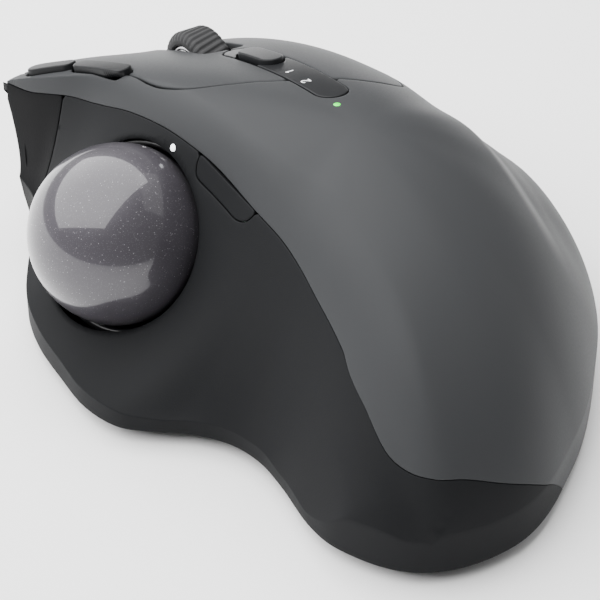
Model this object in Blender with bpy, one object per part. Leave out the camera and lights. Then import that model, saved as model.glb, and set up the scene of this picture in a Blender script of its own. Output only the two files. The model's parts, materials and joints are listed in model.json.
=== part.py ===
"""Cordless right-hand trackball mouse, built in millimetres and written out in metres.

+Z is up, +Y is the wheel end, +X is the hand's outer side. The mouse stands on its base plate at z = 0.
"""
from math import atan2, cos, degrees, pi, radians, sin

import bpy
import numpy as np
from mathutils import Matrix, Vector

# ---------------------------------------------------------------- driving sizes, mm
MM = 0.001
BODY_LENGTH = 134.5
BODY_WIDTH = 99.8
BODY_HEIGHT = 50.8
BALL_R = 17.0
BALL_GAP = 0.6
RIM_GAP = 1.3
CUP_WALL = 1.3
WALL = 1.8
GAP = 0.3
FLOOR = 1.8
PAD = 0.8
PLATE = 1.2
WHEEL_R = 11.0
WHEEL_W = 7.0
WHEEL_SIDE = 1.3
WHEEL_LIFT = 2.6
AXLE_R = 1.05
AXLE_PLAY = 0.07
PRESS = 0.5
KEY_LIFT = 1.3
STRIP_W = 6.6
BOARD_T = 1.2
BOARD_Z = 10.4
PIN_R = 0.8
PIN_PLAY = 0.08
SCREW_R = 0.9
SWITCH_H = 6.5
TACT_H = 3.5
TAU = 2.0 * pi

# The plan of the form is drawn at its own size and stretched to the driving sizes.
SX = BODY_WIDTH / 99.8
SY = BODY_LENGTH / 134.5
SZ = BODY_HEIGHT / 50.8
MID = (4.0, -3.0)
# Moves the middle of the outline onto the origin.
SHIFT = Vector((0.21 * SX, -0.9 * SY, 0.0))

# The dome: direction in degrees, reach, edge height, spread, roundness.
DOME = np.array([
    [0, 45.8, 11.0, 2.0, 1.25],
    [25, 45.5, 14.0, 2.0, 1.15],
    [50, 55.0, 20.0, 1.9, 1.05],
    [75, 66.6, 26.0, 1.8, 1.0],
    [95, 69.5, 28.0, 1.8, 1.0],
    [119, 80.0, 30.0, 1.9, 1.1],
    [150, 60.0, 22.0, 2.0, 1.5],
    [180, 48.0, 10.0, 2.1, 1.9],
    [210, 46.0, 6.0, 2.1, 2.0],
    [235, 58.0, 5.5, 2.1, 2.1],
    [250, 64.8, 5.5, 2.1, 2.0],
    [265, 63.8, 5.5, 2.1, 1.9],
    [285, 55.0, 5.5, 2.1, 1.8],
    [305, 48.8, 5.5, 2.1, 1.7],
    [325, 46.4, 7.0, 2.0, 1.5],
    [345, 45.8, 9.0, 2.0, 1.35],
], float)

# The thumb side: station, ridge, lip, lip height, slope at lip, slope at ridge, softness of the ridge.
FLANK = np.array([
    [69, -33.0, -34.4, 12.0, 80, 86, 1.0],
    [60, -29.4, -34.3, 11.0, 45, 84, 1.2],
    [56, -27.5, -34.9, 11.0, 30, 82, 1.5],
    [48, -23.0, -37.8, 10.0, 30, 70, 2.0],
    [38, -19.2, -44.0, 9.0, 32, 58, 3.0],
    [28, -17.0, -48.4, 8.5, 30, 56, 4.0],
    [18, -15.8, -49.9, 8.0, 20, 62, 5.0],
    [7, -14.8, -50.0, 7.5, 14, 68, 6.0],
    [-4, -14.0, -47.2, 7.0, 12, 68, 8.0],
    [-12, -13.6, -38.0, 6.0, 25, 66, 10.0],
    [-20, -13.6, -31.0, 6.0, 50, 66, 12.0],
    [-28, -14.0, -28.7, 5.8, 66, 68, 13.0],
    [-40, -15.0, -29.0, 5.5, 70, 68, 14.0],
    [-52, -16.5, -29.5, 5.5, 70, 70, 14.0],
    [-66, -18.5, -30.5, 5.5, 72, 74, 14.0],
], float)

# Plan of the lip along the thumb side and the pointed front corner.
THUMB_LIP = np.array([
    (31, 54), (22, 60.5), (10, 64.5), (-3, 66), (-16, 66.8), (-27, 67.8), (-32.5, 68.2), (-34.3, 65.5),
    (-34.2, 60), (-35, 54), (-38.5, 47), (-43.5, 39), (-47.6, 31), (-49.6, 22), (-49.9, 12), (-49.6, 3),
    (-47, -4.5), (-42.5, -8.8), (-36.5, -13.2), (-31.5, -19), (-29, -26), (-28.7, -34), (-29.3, -44),
    (-28.5, -53), (-24.5, -60), (-17.5, -64),
], float)

# Height of the joint between the grey shell and the thumb panel, by station.
SEAM = np.array([
    (69, 29.8), (61.6, 30.7), (57.1, 32.3), (52.9, 33.8), (46.6, 35.4), (34.9, 39.4), (26, 41.4), (13.9, 42.2),
    (-4.2, 40.6), (-12.5, 39.6), (-19.6, 38.0), (-25.9, 36.0), (-32.2, 34.0), (-38.2, 31.6), (-45.2, 28.2),
    (-49.2, 25.3), (-53.1, 22.8), (-57.0, 21.4), (-70, 20.5),
], float)
# Height of the same joint across the tail, by distance to the side: it runs out under the lip on the right.
TAIL_SEAM = np.array([(-30, 21.6), (-15.8, 21.3), (-10.8, 20.9), (-3.7, 18.0), (5.1, 12.9), (9.3, 9.4),
                      (14.0, 3.6), (24.0, -12.0), (60.0, -40.0)], float)
CHEEK_Y = 53.6

# How far the foot of the casing stands in from its lip, by direction.
FOOT_IN = np.array([(0, 5.2), (30, 5.4), (60, 6.2), (90, 4.8), (110, 5.4), (125, 4.0), (140, 2.4), (160, 1.6),
                    (200, 1.3), (240, 1.3), (270, 1.6), (300, 2.6), (330, 4.2)], float)

LIP_LOW = PAD + PLATE + GAP + FLOOR + 1.1

BALL_AT = Vector((-31.9 * SX, 21.0 * SY, 24.0 * SZ))
BALL_OUT = Vector((-0.766, -0.205, 0.609)).normalized()
WHEEL_X = 4.2 * SX
WHEEL_Y = 54.6 * SY


# ---------------------------------------------------------------- the form
def hermite(at, knots, values):
    """Smooth curve through the knots, in one piece, with no overshoot at its ends."""
    order = np.argsort(knots)
    k = np.asarray(knots, float)[order]
    v = np.asarray(values, float)[order]
    h = np.diff(k)
    d = np.diff(v) / h
    m = np.empty_like(v)
    m[1:-1] = (d[:-1] * h[1:] + d[1:] * h[:-1]) / (h[1:] + h[:-1])
    m[0] = d[0]
    m[-1] = d[-1]
    at = np.clip(at, k[0], k[-1])
    i = np.clip(np.searchsorted(k, at, side="right") - 1, 0, len(k) - 2)
    t = (at - k[i]) / h[i]
    return ((2 * t**3 - 3 * t**2 + 1) * v[i] + (t**3 - 2 * t**2 + t) * h[i] * m[i]
            + (3 * t**2 - 2 * t**3) * v[i + 1] + (t**3 - t**2) * h[i] * m[i + 1])


def around(theta, knots, values):
    """The same curve closed on itself, for a quantity that depends on direction."""
    k = np.concatenate([knots - 360.0, knots, knots + 360.0])
    return hermite(np.mod(np.degrees(theta), 360.0), k, np.tile(values, 3))


def soft_min(a, b, k):
    h = np.clip(0.5 + 0.5 * (b - a) / k, 0.0, 1.0)
    return b + (a - b) * h - k * h * (1.0 - h)


def smooth(t):
    t = np.clip(t, 0.0, 1.0)
    return t * t * (3.0 - 2.0 * t)


def thumb_reach():
    """Direction and reach of the thumb lip, from a curve through its points."""
    p = THUMB_LIP
    t = np.linspace(1, len(p) - 2, 900, endpoint=False)
    i = t.astype(int)
    f = (t - i)[:, None]
    a, b, c, d = p[i - 1], p[i], p[i + 1], p[np.minimum(i + 2, len(p) - 1)]
    q = 0.5 * (2 * b + (c - a) * f + (2 * a - 5 * b + 4 * c - d) * f**2 + (3 * b - a - 3 * c + d) * f**3)
    angle = np.degrees(np.arctan2(q[:, 1] - MID[1], q[:, 0] - MID[0])) % 360.0
    reach = np.hypot(q[:, 0] - MID[0], q[:, 1] - MID[1])
    order = np.argsort(angle)
    return angle[order], reach[order]


LIP_ANGLE, LIP_REACH = thumb_reach()


def outline(theta):
    """Reach of the body's edge in plan, before stretching."""
    angle = np.mod(np.degrees(theta), 360.0)
    dome = around(theta, DOME[:, 0], DOME[:, 1]) - 0.3
    lip = np.interp(angle, LIP_ANGLE, LIP_REACH)
    w = smooth((angle - 60.0) / 15.0) * (1.0 - smooth((angle - 238.0) / 8.0))
    return dome + (np.where(angle > 200.0, np.minimum(lip, dome), lip) - dome) * w


def plan(theta, inset=0.0):
    """Points of the body's edge in plan, after stretching, moved in by inset."""
    r = outline(theta)
    x = (MID[0] + r * np.cos(theta)) * SX
    y = (MID[1] + r * np.sin(theta)) * SY
    dx = x - MID[0] * SX
    dy = y - MID[1] * SY
    k = 1.0 - inset / np.hypot(dx, dy)
    return MID[0] * SX + dx * k, MID[1] * SY + dy * k


def height(x, y):
    """Height of the outer surface over a point of the plan."""
    x = np.asarray(x, float) / SX
    y = np.asarray(y, float) / SY

    def dome(px, py):
        dx = px - MID[0]
        dy = py - MID[1]
        th = np.arctan2(dy, dx)
        reach, edge, p, q = (around(th, DOME[:, 0], DOME[:, i]) for i in (1, 2, 3, 4))
        rho = np.clip(np.hypot(dx, dy) / reach, 0.0, 1.0)
        return edge + (50.8 - edge) * np.clip(1.0 - rho**p, 0.0, 1.0) ** (1.0 / q)

    ridge, lip, low, a0, a1, soft = (hermite(y, FLANK[:, 0], FLANK[:, i]) for i in range(1, 7))
    top = dome(ridge, y)
    t0 = np.tan(np.radians(a0))
    t1 = np.tan(np.radians(a1))
    w = ridge - lip
    t = (x - lip) / w
    u = np.clip(t, 0.0, 1.0)
    side = low + (top - low) * (3 * u**2 - 2 * u**3) + w * t0 * (u**3 - 2 * u**2 + u) + w * t1 * (u**3 - u**2)
    side = side + np.where(t > 1, (x - ridge) * t1, 0.0) + np.where(t < 0, (x - lip) * t0, 0.0)
    scoop = 1.6 * smooth((x - 28.0) / 5.0) * (1.0 - smooth((x - 36.0) / 9.0))
    scoop = scoop * smooth((y + 36.0) / 18.0) * (1.0 - smooth((y - 14.0) / 18.0))
    over = dome(x, y)
    soft = soft * np.clip((np.minimum(over, side) - 5.0) / 14.0, 0.05, 1.0)
    return SZ * (soft_min(over, side, soft) - scoop)


def height_inside(x, y, wall):
    """Height of the surface that lies one wall inside the outer one."""
    low = height(x, y) - wall
    for ring in (0.35, 0.7, 0.95):
        drop = wall * np.sqrt(1.0 - ring**2)
        for a in np.linspace(0.0, TAU, 12, endpoint=False):
            low = np.minimum(low, height(x + wall * ring * cos(a), y + wall * ring * sin(a)) - drop)
    return np.maximum(low, LIP_LOW)


def on_top(x, y):
    return Vector((x, y, float(height(np.array([x]), np.array([y]))[0])))


def normal_at(x, y, step=0.6):
    gx = (on_top(x + step, y).z - on_top(x - step, y).z) / (2 * step)
    gy = (on_top(x, y + step).z - on_top(x, y - step).z) / (2 * step)
    return Vector((-gx, -gy, 1.0)).normalized()


# ---------------------------------------------------------------- building tools
for old in list(bpy.data.objects):
    bpy.data.objects.remove(old)

PARTS = bpy.data.collections.new("trackball_mouse")
CUTTERS = bpy.data.collections.new("cutters")
bpy.context.scene.collection.children.link(PARTS)
bpy.context.scene.collection.children.link(CUTTERS)
CUTTERS.hide_render = True


def paint(name, rgb, rough, metal=0.0):
    mat = bpy.data.materials.new(name)
    mat.use_nodes = True
    shader = mat.node_tree.nodes["Principled BSDF"]
    shader.inputs["Base Color"].default_value = (*rgb, 1.0)
    shader.inputs["Roughness"].default_value = rough
    shader.inputs["Metallic"].default_value = metal
    mat.diffuse_color = (*rgb, 1.0)
    return mat


GREY = (0.115, 0.12, 0.125)
DARK = (0.045, 0.047, 0.05)
BLACK = (0.012, 0.012, 0.013)
STEEL = (0.55, 0.56, 0.58)


def make(name, verts, faces, look=None):
    """A mesh object in mm, moved so that the outline is centred on the origin."""
    mesh = bpy.data.meshes.new(name)
    flat = []
    for face in faces:
        flat += [face] if len(face) != 4 else [(face[0], face[1], face[2]), (face[0], face[2], face[3])]
    volume = sum(Vector(verts[f[0]]).dot(Vector(verts[f[i]]).cross(Vector(verts[f[i + 1]])))
                 for f in flat for i in range(1, len(f) - 1))
    if volume < 0:
        flat = [face[::-1] for face in flat]
    mesh.from_pydata([(Vector(v) + SHIFT) * MM for v in verts], [], flat)
    mesh.validate()
    obj = bpy.data.objects.new(name, mesh)
    if look is None:
        obj.hide_render = True
        obj.display_type = "WIRE"
        CUTTERS.objects.link(obj)
    else:
        mesh.materials.append(paint(name + "_look", *look))
        PARTS.objects.link(obj)
    return obj


def boolean(obj, other, kind="DIFFERENCE"):
    mod = obj.modifiers.new(other.name, "BOOLEAN")
    mod.operation = kind
    mod.solver = "EXACT"
    mod.object = other
    return obj


def rings(name, loops, look=None, close=False):
    """A solid through a row of loops with as many points each, capped flat at both ends or closed on itself."""
    n = len(loops[0])
    verts = [p for loop in loops for p in loop]
    faces = []
    rows = len(loops)
    for j in range(rows if close else rows - 1):
        k = (j + 1) % rows
        for i in range(n):
            m = (i + 1) % n
            faces.append((j * n + i, j * n + m, k * n + m, k * n + i))
    if not close:
        faces.append(tuple(range(n))[::-1])
        faces.append(tuple(range((rows - 1) * n, rows * n)))
    return make(name, verts, faces, look)


def prism(name, points, low, high, look=None):
    """An upright solid over a plan polygon that runs anticlockwise."""
    return rings(name, [[(x, y, low) for x, y in points], [(x, y, high) for x, y in points]], look)


def box(name, lo, hi, look=None):
    return prism(name, [(lo[0], lo[1]), (hi[0], lo[1]), (hi[0], hi[1]), (lo[0], hi[1])], lo[2], hi[2], look)


def frame_of(axis):
    """Two unit vectors square to an axis."""
    axis = Vector(axis).normalized()
    side = Vector((0, 0, 1)) if abs(axis.z) < 0.9 else Vector((1, 0, 0))
    u = axis.cross(side).normalized()
    return u, axis.cross(u).normalized(), axis


def turned(name, at, axis, profile, steps=28, look=None):
    """A solid of revolution: profile is a row of (distance along axis, radius), from one pole to the other."""
    u, v, w = frame_of(axis)
    at = Vector(at)
    loops = []
    for along, r in profile:
        loops.append([at + w * along + (u * cos(TAU * i / steps) + v * sin(TAU * i / steps)) * r
                      for i in range(steps)])
    return rings(name, loops, look)


def ring_turned(name, at, axis, profile, steps=40, look=None):
    """A ring: profile is a closed loop of (distance along axis, radius) that runs round the section."""
    u, v, w = frame_of(axis)
    at = Vector(at)
    loops = []
    for i in range(steps):
        out = u * cos(TAU * i / steps) + v * sin(TAU * i / steps)
        loops.append([at + w * along + out * r for along, r in profile])
    return rings(name, loops, look, close=True)


def rod(name, a, b, r, steps=20, look=None):
    a = Vector(a)
    b = Vector(b)
    return turned(name, a, b - a, [(0.0, r), ((b - a).length, r)], steps, look)


def block(name, at, u, v, w, size, look=None):
    """A box turned to three square directions, centred on a point."""
    hx, hy, hz = (s / 2 for s in size)
    at = Vector(at)
    corners = [(-hx, -hy), (hx, -hy), (hx, hy), (-hx, hy)]
    loops = [[at + u * a + v * b + w * c for a, b in corners] for c in (-hz, hz)]
    return rings(name, loops, look)


def grown(points, by):
    """A plan polygon that runs anticlockwise, moved outward by a distance."""
    n = len(points)
    out = []
    for i in range(n):
        a = Vector(points[i - 1])
        b = Vector(points[i])
        c = Vector(points[(i + 1) % n])
        e = (b - a).normalized()
        f = (c - b).normalized()
        na = Vector((e.y, -e.x))
        nb = Vector((f.y, -f.x))
        m = (na + nb).normalized()
        out.append(tuple(b + m * (by / max(0.4, m.dot(na)))))
    return out


def stadium(a, b, r, steps=7):
    """A long oval in plan between two points, anticlockwise."""
    a = Vector(a)
    b = Vector(b)
    t = atan2(b.y - a.y, b.x - a.x)
    pts = []
    for centre, start in ((b, t - pi / 2), (a, t + pi / 2)):
        for i in range(steps + 1):
            q = start + pi * i / steps
            pts.append((centre.x + r * cos(q), centre.y + r * sin(q)))
    return pts


def pad(name, points, lift, depth, edge, look=None, levels=2, bulge=0.0):
    """A key that follows the outer surface: its plan drops by depth and rises by lift, with a bevelled edge."""
    n = len(points)
    mid = Vector((sum(p[0] for p in points) / n, sum(p[1] for p in points) / n))
    axis = Vector((0, 0, 1))
    surface = [on_top(*p) for p in points]
    loops = [[p - axis * depth for p in surface], [p + axis * (lift - edge) for p in surface]]
    shrink = grown(points, -edge)
    loops.append([on_top(*p) + axis * lift for p in shrink])
    verts = [p for loop in loops for p in loop]
    faces = []
    for j in range(2):
        for i in range(n):
            m = (i + 1) % n
            faces.append((j * n + i, j * n + m, (j + 1) * n + m, (j + 1) * n + i))
    last = 2 * n
    for level in range(1, levels):
        k = 1.0 - level / levels
        ring = [(mid.x + (p[0] - mid.x) * k, mid.y + (p[1] - mid.y) * k) for p in shrink]
        verts += [on_top(*p) + axis * (lift + bulge * (1 - k * k)) for p in ring]
        for i in range(n):
            m = (i + 1) % n
            faces.append((last + i, last + m, last + n + m, last + n + i))
        last += n
    verts.append(on_top(mid.x, mid.y) + axis * (lift + bulge))
    faces += [(last + i, last + (i + 1) % n, len(verts) - 1) for i in range(n)]
    verts.append(on_top(mid.x, mid.y) - axis * depth)
    faces += [((i + 1) % n, i, len(verts) - 1) for i in range(n)]
    return make(name, verts, faces, look)


# ---------------------------------------------------------------- the shell and its cutters
def ray_angles():
    """Directions of the grid, closer together at the pointed front corner."""
    coarse = np.concatenate([np.arange(0, 108, 7.8), np.arange(109.5, 127, 2.2), np.arange(128, 248, 6.0),
                             np.arange(248, 356, 7.6)])
    return np.radians(coarse)


ANGLES = ray_angles()
STEPS = 1.0 - (1.0 - np.linspace(0.0, 1.0, 15)[1:]) ** 1.45


def field(wall):
    """Grid of the surface one wall inside the outer one: rings of points and the middle point."""
    ex, ey = plan(ANGLES, wall)
    cx = MID[0] * SX
    cy = MID[1] * SY
    x = cx + np.outer(STEPS, ex - cx)
    y = cy + np.outer(STEPS, ey - cy)
    z = height(x, y) if wall == 0.0 else height_inside(x, y, wall)
    zc = height(np.array([cx]), np.array([cy]))[0] - wall
    return np.stack([x, y, z], -1), (cx, cy, zc)


def cap_of(name, wall, floor_z):
    """The volume under one wall's surface, down to a flat floor."""
    grid, middle = field(wall)
    loops = [[tuple(p) for p in ring] for ring in grid]
    loops.append([(p[0], p[1], floor_z) for p in grid[-1]])
    n = len(ANGLES)
    verts = [middle] + [p for loop in loops for p in loop]
    faces = [(0, 1 + i, 1 + (i + 1) % n) for i in range(n)]
    for j in range(len(loops) - 1):
        for i in range(n):
            m = (i + 1) % n
            faces.append((1 + j * n + i, 1 + (j + 1) * n + i, 1 + (j + 1) * n + m, 1 + j * n + m))
    faces.append(tuple(1 + (len(loops) - 1) * n + i for i in range(n))[::-1])
    return make(name, verts, faces)


def shell(name, look):
    """The whole upper skin: outer surface, inner surface and the lip that joins them."""
    outer, top = field(0.0)
    inner, under = field(WALL)
    n = len(ANGLES)
    rows = len(STEPS)
    verts = [top] + [tuple(p) for ring in outer for p in ring]
    base = len(verts)
    verts += [under] + [tuple(p) for ring in inner for p in ring]
    faces = [(0, 1 + i, 1 + (i + 1) % n) for i in range(n)]
    faces += [(base, base + 1 + (i + 1) % n, base + 1 + i) for i in range(n)]
    for j in range(rows - 1):
        for i in range(n):
            m = (i + 1) % n
            a, b, c, d = j * n + i, j * n + m, (j + 1) * n + m, (j + 1) * n + i
            faces.append((1 + a, 1 + d, 1 + c, 1 + b))
            faces.append((base + 1 + a, base + 1 + b, base + 1 + c, base + 1 + d))
    last = (rows - 1) * n
    for i in range(n):
        m = (i + 1) % n
        faces.append((1 + last + i, base + 1 + last + i, base + 1 + last + m, 1 + last + m))
    return make(name, verts, faces, look)


def seam_height(x, y):
    """Height of the joint between the grey shell and the dark skirt, over the whole plan."""
    x = x / SX
    y = y / SY
    side = hermite(y, SEAM[:, 0], SEAM[:, 1])
    ridge = hermite(y, FLANK[:, 0], FLANK[:, 1])
    left = side + (-20.0 - side) * smooth((x - ridge - 3.0) / 2.0)
    tail = hermite(x, TAIL_SEAM[:, 0], TAIL_SEAM[:, 1])
    tail = side + (tail - side) * smooth((x + 20.0) / 5.0)
    w = smooth((-36.0 - y) / 8.0)
    return SZ * (left + (tail - left) * w)


def under_seam(name, lift):
    xs = np.concatenate([np.arange(-58, -34, 6.0), np.arange(-34, -6, 2.4), np.arange(-6.5, 30, 2.9),
                         np.arange(30, 60, 6.0)]) * SX
    ys = np.concatenate([np.arange(-76, -30, 4.0), np.arange(-30, 80, 7.0)]) * SY
    gx, gy = np.meshgrid(xs, ys, indexing="ij")
    gz = seam_height(gx, gy) + lift
    nx, ny = gx.shape
    verts = [(gx[i, j], gy[i, j], gz[i, j]) for i in range(nx) for j in range(ny)]
    verts += [(gx[i, j], gy[i, j], -60.0) for i in range(nx) for j in range(ny)]
    k = nx * ny
    faces = []
    for i in range(nx - 1):
        for j in range(ny - 1):
            a, b, c, d = i * ny + j, (i + 1) * ny + j, (i + 1) * ny + j + 1, i * ny + j + 1
            faces.append((a, b, c, d))
            faces.append((k + a, k + d, k + c, k + b))
    for i in range(nx - 1):
        a, b = i * ny, (i + 1) * ny
        faces.append((a, k + a, k + b, b))
        a, b = i * ny + ny - 1, (i + 1) * ny + ny - 1
        faces.append((a, b, k + b, k + a))
    for j in range(ny - 1):
        a, b = j, j + 1
        faces.append((a, b, k + b, k + a))
        a, b = (nx - 1) * ny + j, (nx - 1) * ny + j + 1
        faces.append((a, k + a, k + b, b))
    return make(name, verts, faces)


def scaled(points):
    return [(x * SX, y * SY) for x, y in points]


# The key line divides the left button from the rail that carries the two side keys.
KEY_LINE = [(-18.4, 40.4), (-20.2, 47.0), (-22.8, 56.5), (-25.4, 61.5), (-28.8, 67.0), (-32.5, 80.0)]
LEFT_PLAN = scaled([(4.9, 17.3), (4.9, 80.0)] + KEY_LINE[::-1]
                   + [(-17.6, 34.8), (-16.3, 30.5), (-13.4, 26.3), (-7.1, 22.7), (-1.0, 20.2)])
RIGHT_PLAN = scaled([(4.9, 15.0), (12.9, 13.2), (18.3, 12.0), (22.6, 12.6), (25.6, 15.0), (27.6, 20.0),
                     (30.0, 30.0), (32.4, 42.0), (34.2, 54.0), (37.0, 80.0), (4.9, 80.0)])
STRIP_A = (6.9 * SX, 10.6 * SY)
STRIP_B = (5.1 * SX, 40.8 * SY)
STRIP_PLAN = stadium(STRIP_A, STRIP_B, STRIP_W / 2)
REAR_LEFT = scaled([(-18.4, 40.4), (-17.6, 34.8), (-16.3, 30.5), (-13.4, 26.3), (-7.1, 22.7), (-1.0, 20.2)])
REAR_RIGHT = scaled([(12.9, 13.2), (18.3, 12.0), (22.6, 12.6), (25.6, 15.0), (27.6, 20.0), (30.0, 30.0),
                     (32.4, 42.0), (34.2, 54.0), (37.0, 80.0)])
STRIP_TAIL = [p for p in stadium(STRIP_A, STRIP_B, STRIP_W / 2 + GAP / 2) if p[1] < 12.0 * SY]
STRIP_SIDE = STRIP_A[0] + (STRIP_B[0] - STRIP_A[0]) * 0.25 - STRIP_W / 2 - GAP
FRONT_PLAN = (REAR_LEFT + [(STRIP_SIDE, 18.2 * SY)] + STRIP_TAIL
              + [(STRIP_A[0] + STRIP_W / 2 + GAP / 2 - 0.1, 13.77 * SY)] + REAR_RIGHT
              + scaled(KEY_LINE[:0:-1]))
SWITCH_PLAN = stadium((5.75 * SX, 30.4 * SY), (5.35 * SX, 37.6 * SY), STRIP_W * 0.36)
BACK_PLAN = stadium((-19.6 * SX, 43.9 * SY), (-22.4 * SX, 54.2 * SY), 1.9, 5)
FORWARD_PLAN = stadium((-23.7 * SX, 58.6 * SY), (-27.6 * SX, 64.0 * SY), 1.9, 5)

seam_low = under_seam("cut_below_seam", -GAP / 2)
seam_high = under_seam("cut_above_seam", GAP / 2)
inside = cap_of("cut_inside", WALL + 0.5, FLOOR + PAD + PLATE + GAP + 0.2)
ball_room = turned("cut_ball_room", BALL_AT, BALL_OUT,
                   [((BALL_R + RIM_GAP) * sin(a), max(0.02, (BALL_R + RIM_GAP) * cos(a)))
                    for a in np.linspace(-pi / 2, pi / 2, 17)], 36)
strip_room = prism("cut_strip_room", grown(STRIP_PLAN, GAP), 0.0, 90.0)
front_room = prism("cut_front_room", grown(FRONT_PLAN, GAP / 2), 0.0, 90.0)
left_area = prism("cut_left_area", grown(LEFT_PLAN, -GAP / 2), 0.0, 90.0)
right_area = prism("cut_right_area", grown(RIGHT_PLAN, -GAP / 2), 0.0, 90.0)
back_room = prism("cut_back_room", grown(BACK_PLAN, GAP), 0.0, 90.0)
forward_room = prism("cut_forward_room", grown(FORWARD_PLAN, GAP), 0.0, 90.0)
SLOT_HALF = WHEEL_W / 2 + WHEEL_SIDE
wheel_room = prism("cut_wheel_room",
                   [(WHEEL_X - SLOT_HALF, WHEEL_Y - 7.4), (WHEEL_X - SLOT_HALF + 1.5, WHEEL_Y - 9.0),
                    (WHEEL_X + SLOT_HALF - 1.5, WHEEL_Y - 9.0), (WHEEL_X + SLOT_HALF, WHEEL_Y - 7.4),
                    (WHEEL_X + SLOT_HALF, 90.0 * SY), (WHEEL_X - SLOT_HALF, 90.0 * SY)], 14.0, 90.0)
cheek_front = box("cut_front_of_cheek", (-60, CHEEK_Y * SY + GAP / 2, -5), (0, 90, 60))
cheek_nose = rings("cut_cheek_nose", [
    [(x, (61.0 + 0.375 * (z - 8.0)) * SY, z * SZ) for z in (-5.0, 60.0)] + [(x, 110.0, 60.0 * SZ), (x, 110.0, -5.0)]
    for x in (0.0, -60.0)])
cheek_back = box("cut_back_of_cheek", (-60, CHEEK_Y * SY - GAP / 2, -5), (0, 90, 60))

# The long flush key beside the ball, drawn on the wall as station and height.
PRECISION = [(13.2, 42.0), (-4.0, 40.4), (-4.4, 39.2), (-2.0, 37.5), (1.4, 37.0), (6.4, 37.5), (11.4, 38.3),
             (13.4, 39.8)]
KEY_MID = Vector((-18.6 * SX, 4.6 * SY, 39.4 * SZ))
KEY_OUT = normal_at(KEY_MID.x, KEY_MID.y)


def wall_point(y, z):
    """The point of the thumb wall at a station and height."""
    xs = np.linspace(-36.0, -10.0, 521) * SX
    zs = height(xs, np.full_like(xs, y))
    return Vector((float(np.interp(z, zs, xs)), y, z))


def wall_loop(grow):
    mid_y = sum(p[0] for p in PRECISION) / len(PRECISION)
    mid_z = sum(p[1] for p in PRECISION) / len(PRECISION)
    pts = []
    for y, z in PRECISION:
        dy = (y - mid_y) * SY
        dz = (z - mid_z) * SZ
        k = 1.0 + grow / max(1.0, (dy * dy * 0.05 + dz * dz) ** 0.5)
        pts.append(wall_point(mid_y * SY + dy * (1 + grow / 8.6), mid_z * SZ + dz * k))
    return pts


def wall_solid(name, grow, lift, depth, look=None):
    pts = wall_loop(grow)
    loops = [[p - KEY_OUT * depth for p in pts], [p + KEY_OUT * lift for p in pts]]
    a, b, c = loops[0][0], loops[0][2], loops[0][4]
    if (b - a).cross(c - b).dot(KEY_OUT) < 0:
        loops = [loop[::-1] for loop in loops]
    return rings(name, loops, look)


precision_room = wall_solid("cut_precision_room", GAP, 4.0, 5.0)
LIGHT_AT = wall_point(20.4 * SY, 40.0 * SZ)
LIGHT_OUT = normal_at(LIGHT_AT.x, LIGHT_AT.y)
light_room = rod("cut_light_room", LIGHT_AT - LIGHT_OUT * 4, LIGHT_AT + LIGHT_OUT * 3, 0.75 + GAP, 16)
CHARGE_AT = on_top(4.9 * SX, 4.6 * SY)
CHARGE_OUT = normal_at(CHARGE_AT.x, CHARGE_AT.y)
charge_room = rod("cut_charge_room", CHARGE_AT - CHARGE_OUT * 4, CHARGE_AT + CHARGE_OUT * 3, 0.75 + GAP, 16)

# ---------------------------------------------------------------- outer panels
top_shell = shell("top_shell", (GREY, 0.42))
for cutter in (seam_high, front_room, back_room, forward_room, charge_room):
    boolean(top_shell, cutter)
thumb_panel = shell("thumb_panel", (DARK, 0.6))
boolean(thumb_panel, seam_low, "INTERSECT")
for cutter in (cheek_back, ball_room, precision_room, light_room):
    boolean(thumb_panel, cutter)
cheek_panel = shell("cheek_panel", (BLACK, 0.35))
boolean(cheek_panel, seam_low, "INTERSECT")
boolean(cheek_panel, cheek_front, "INTERSECT")
boolean(cheek_panel, cheek_nose)

MAIN_Y = 45.0 * SY


def button(name, area, post_x):
    """A main button: its share of the shell with a plunger down to the switch."""
    obj = shell(name, (GREY, 0.42))
    boolean(obj, area, "INTERSECT")
    for cutter in (strip_room, back_room, forward_room, wheel_room):
        boolean(obj, cutter)
    top = on_top(post_x, MAIN_Y).z - WALL * 0.6
    low = BOARD_Z + BOARD_T + SWITCH_H + GAP * 2
    post = box("cut_" + name + "_post", (post_x - 1.5, MAIN_Y - 2.0, low), (post_x + 1.5, MAIN_Y + 2.0, top))
    return boolean(obj, post, "UNION")


LEFT_X = -6.5 * SX
RIGHT_X = 17.5 * SX
button("left_button", left_area, LEFT_X)
button("right_button", right_area, RIGHT_X)

strip = pad("centre_strip", STRIP_PLAN, 0.0, 1.9, 0.25, (BLACK, 0.4), 5)
boolean(strip, prism("cut_switch_room", grown(SWITCH_PLAN, GAP), 0.0, 90.0))
device = pad("device_button", SWITCH_PLAN, 1.0, 3.0, 0.5, (DARK, 0.45), 3)
back_key = pad("back_button", BACK_PLAN, KEY_LIFT, 2.2, 0.5, (GREY, 0.45), 3, 0.1)
forward_key = pad("forward_button", FORWARD_PLAN, KEY_LIFT, 2.2, 0.5, (GREY, 0.45), 3, 0.1)
wall_solid("precision_button", 0.0, 0.0, 2.4, (DARK, 0.55))
rod("power_light", LIGHT_AT - LIGHT_OUT * 2.6, LIGHT_AT, 0.75, 16, ((0.9, 0.9, 0.9), 0.3))
rod("battery_light", CHARGE_AT - CHARGE_OUT * 2.6, CHARGE_AT - CHARGE_OUT * 0.05, 0.75, 16, ((0.05, 0.8, 0.2), 0.3))

# ---------------------------------------------------------------- casing
BOTTOM = PAD + PLATE + GAP
FLOOR_TOP = BOTTOM + FLOOR


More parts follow.
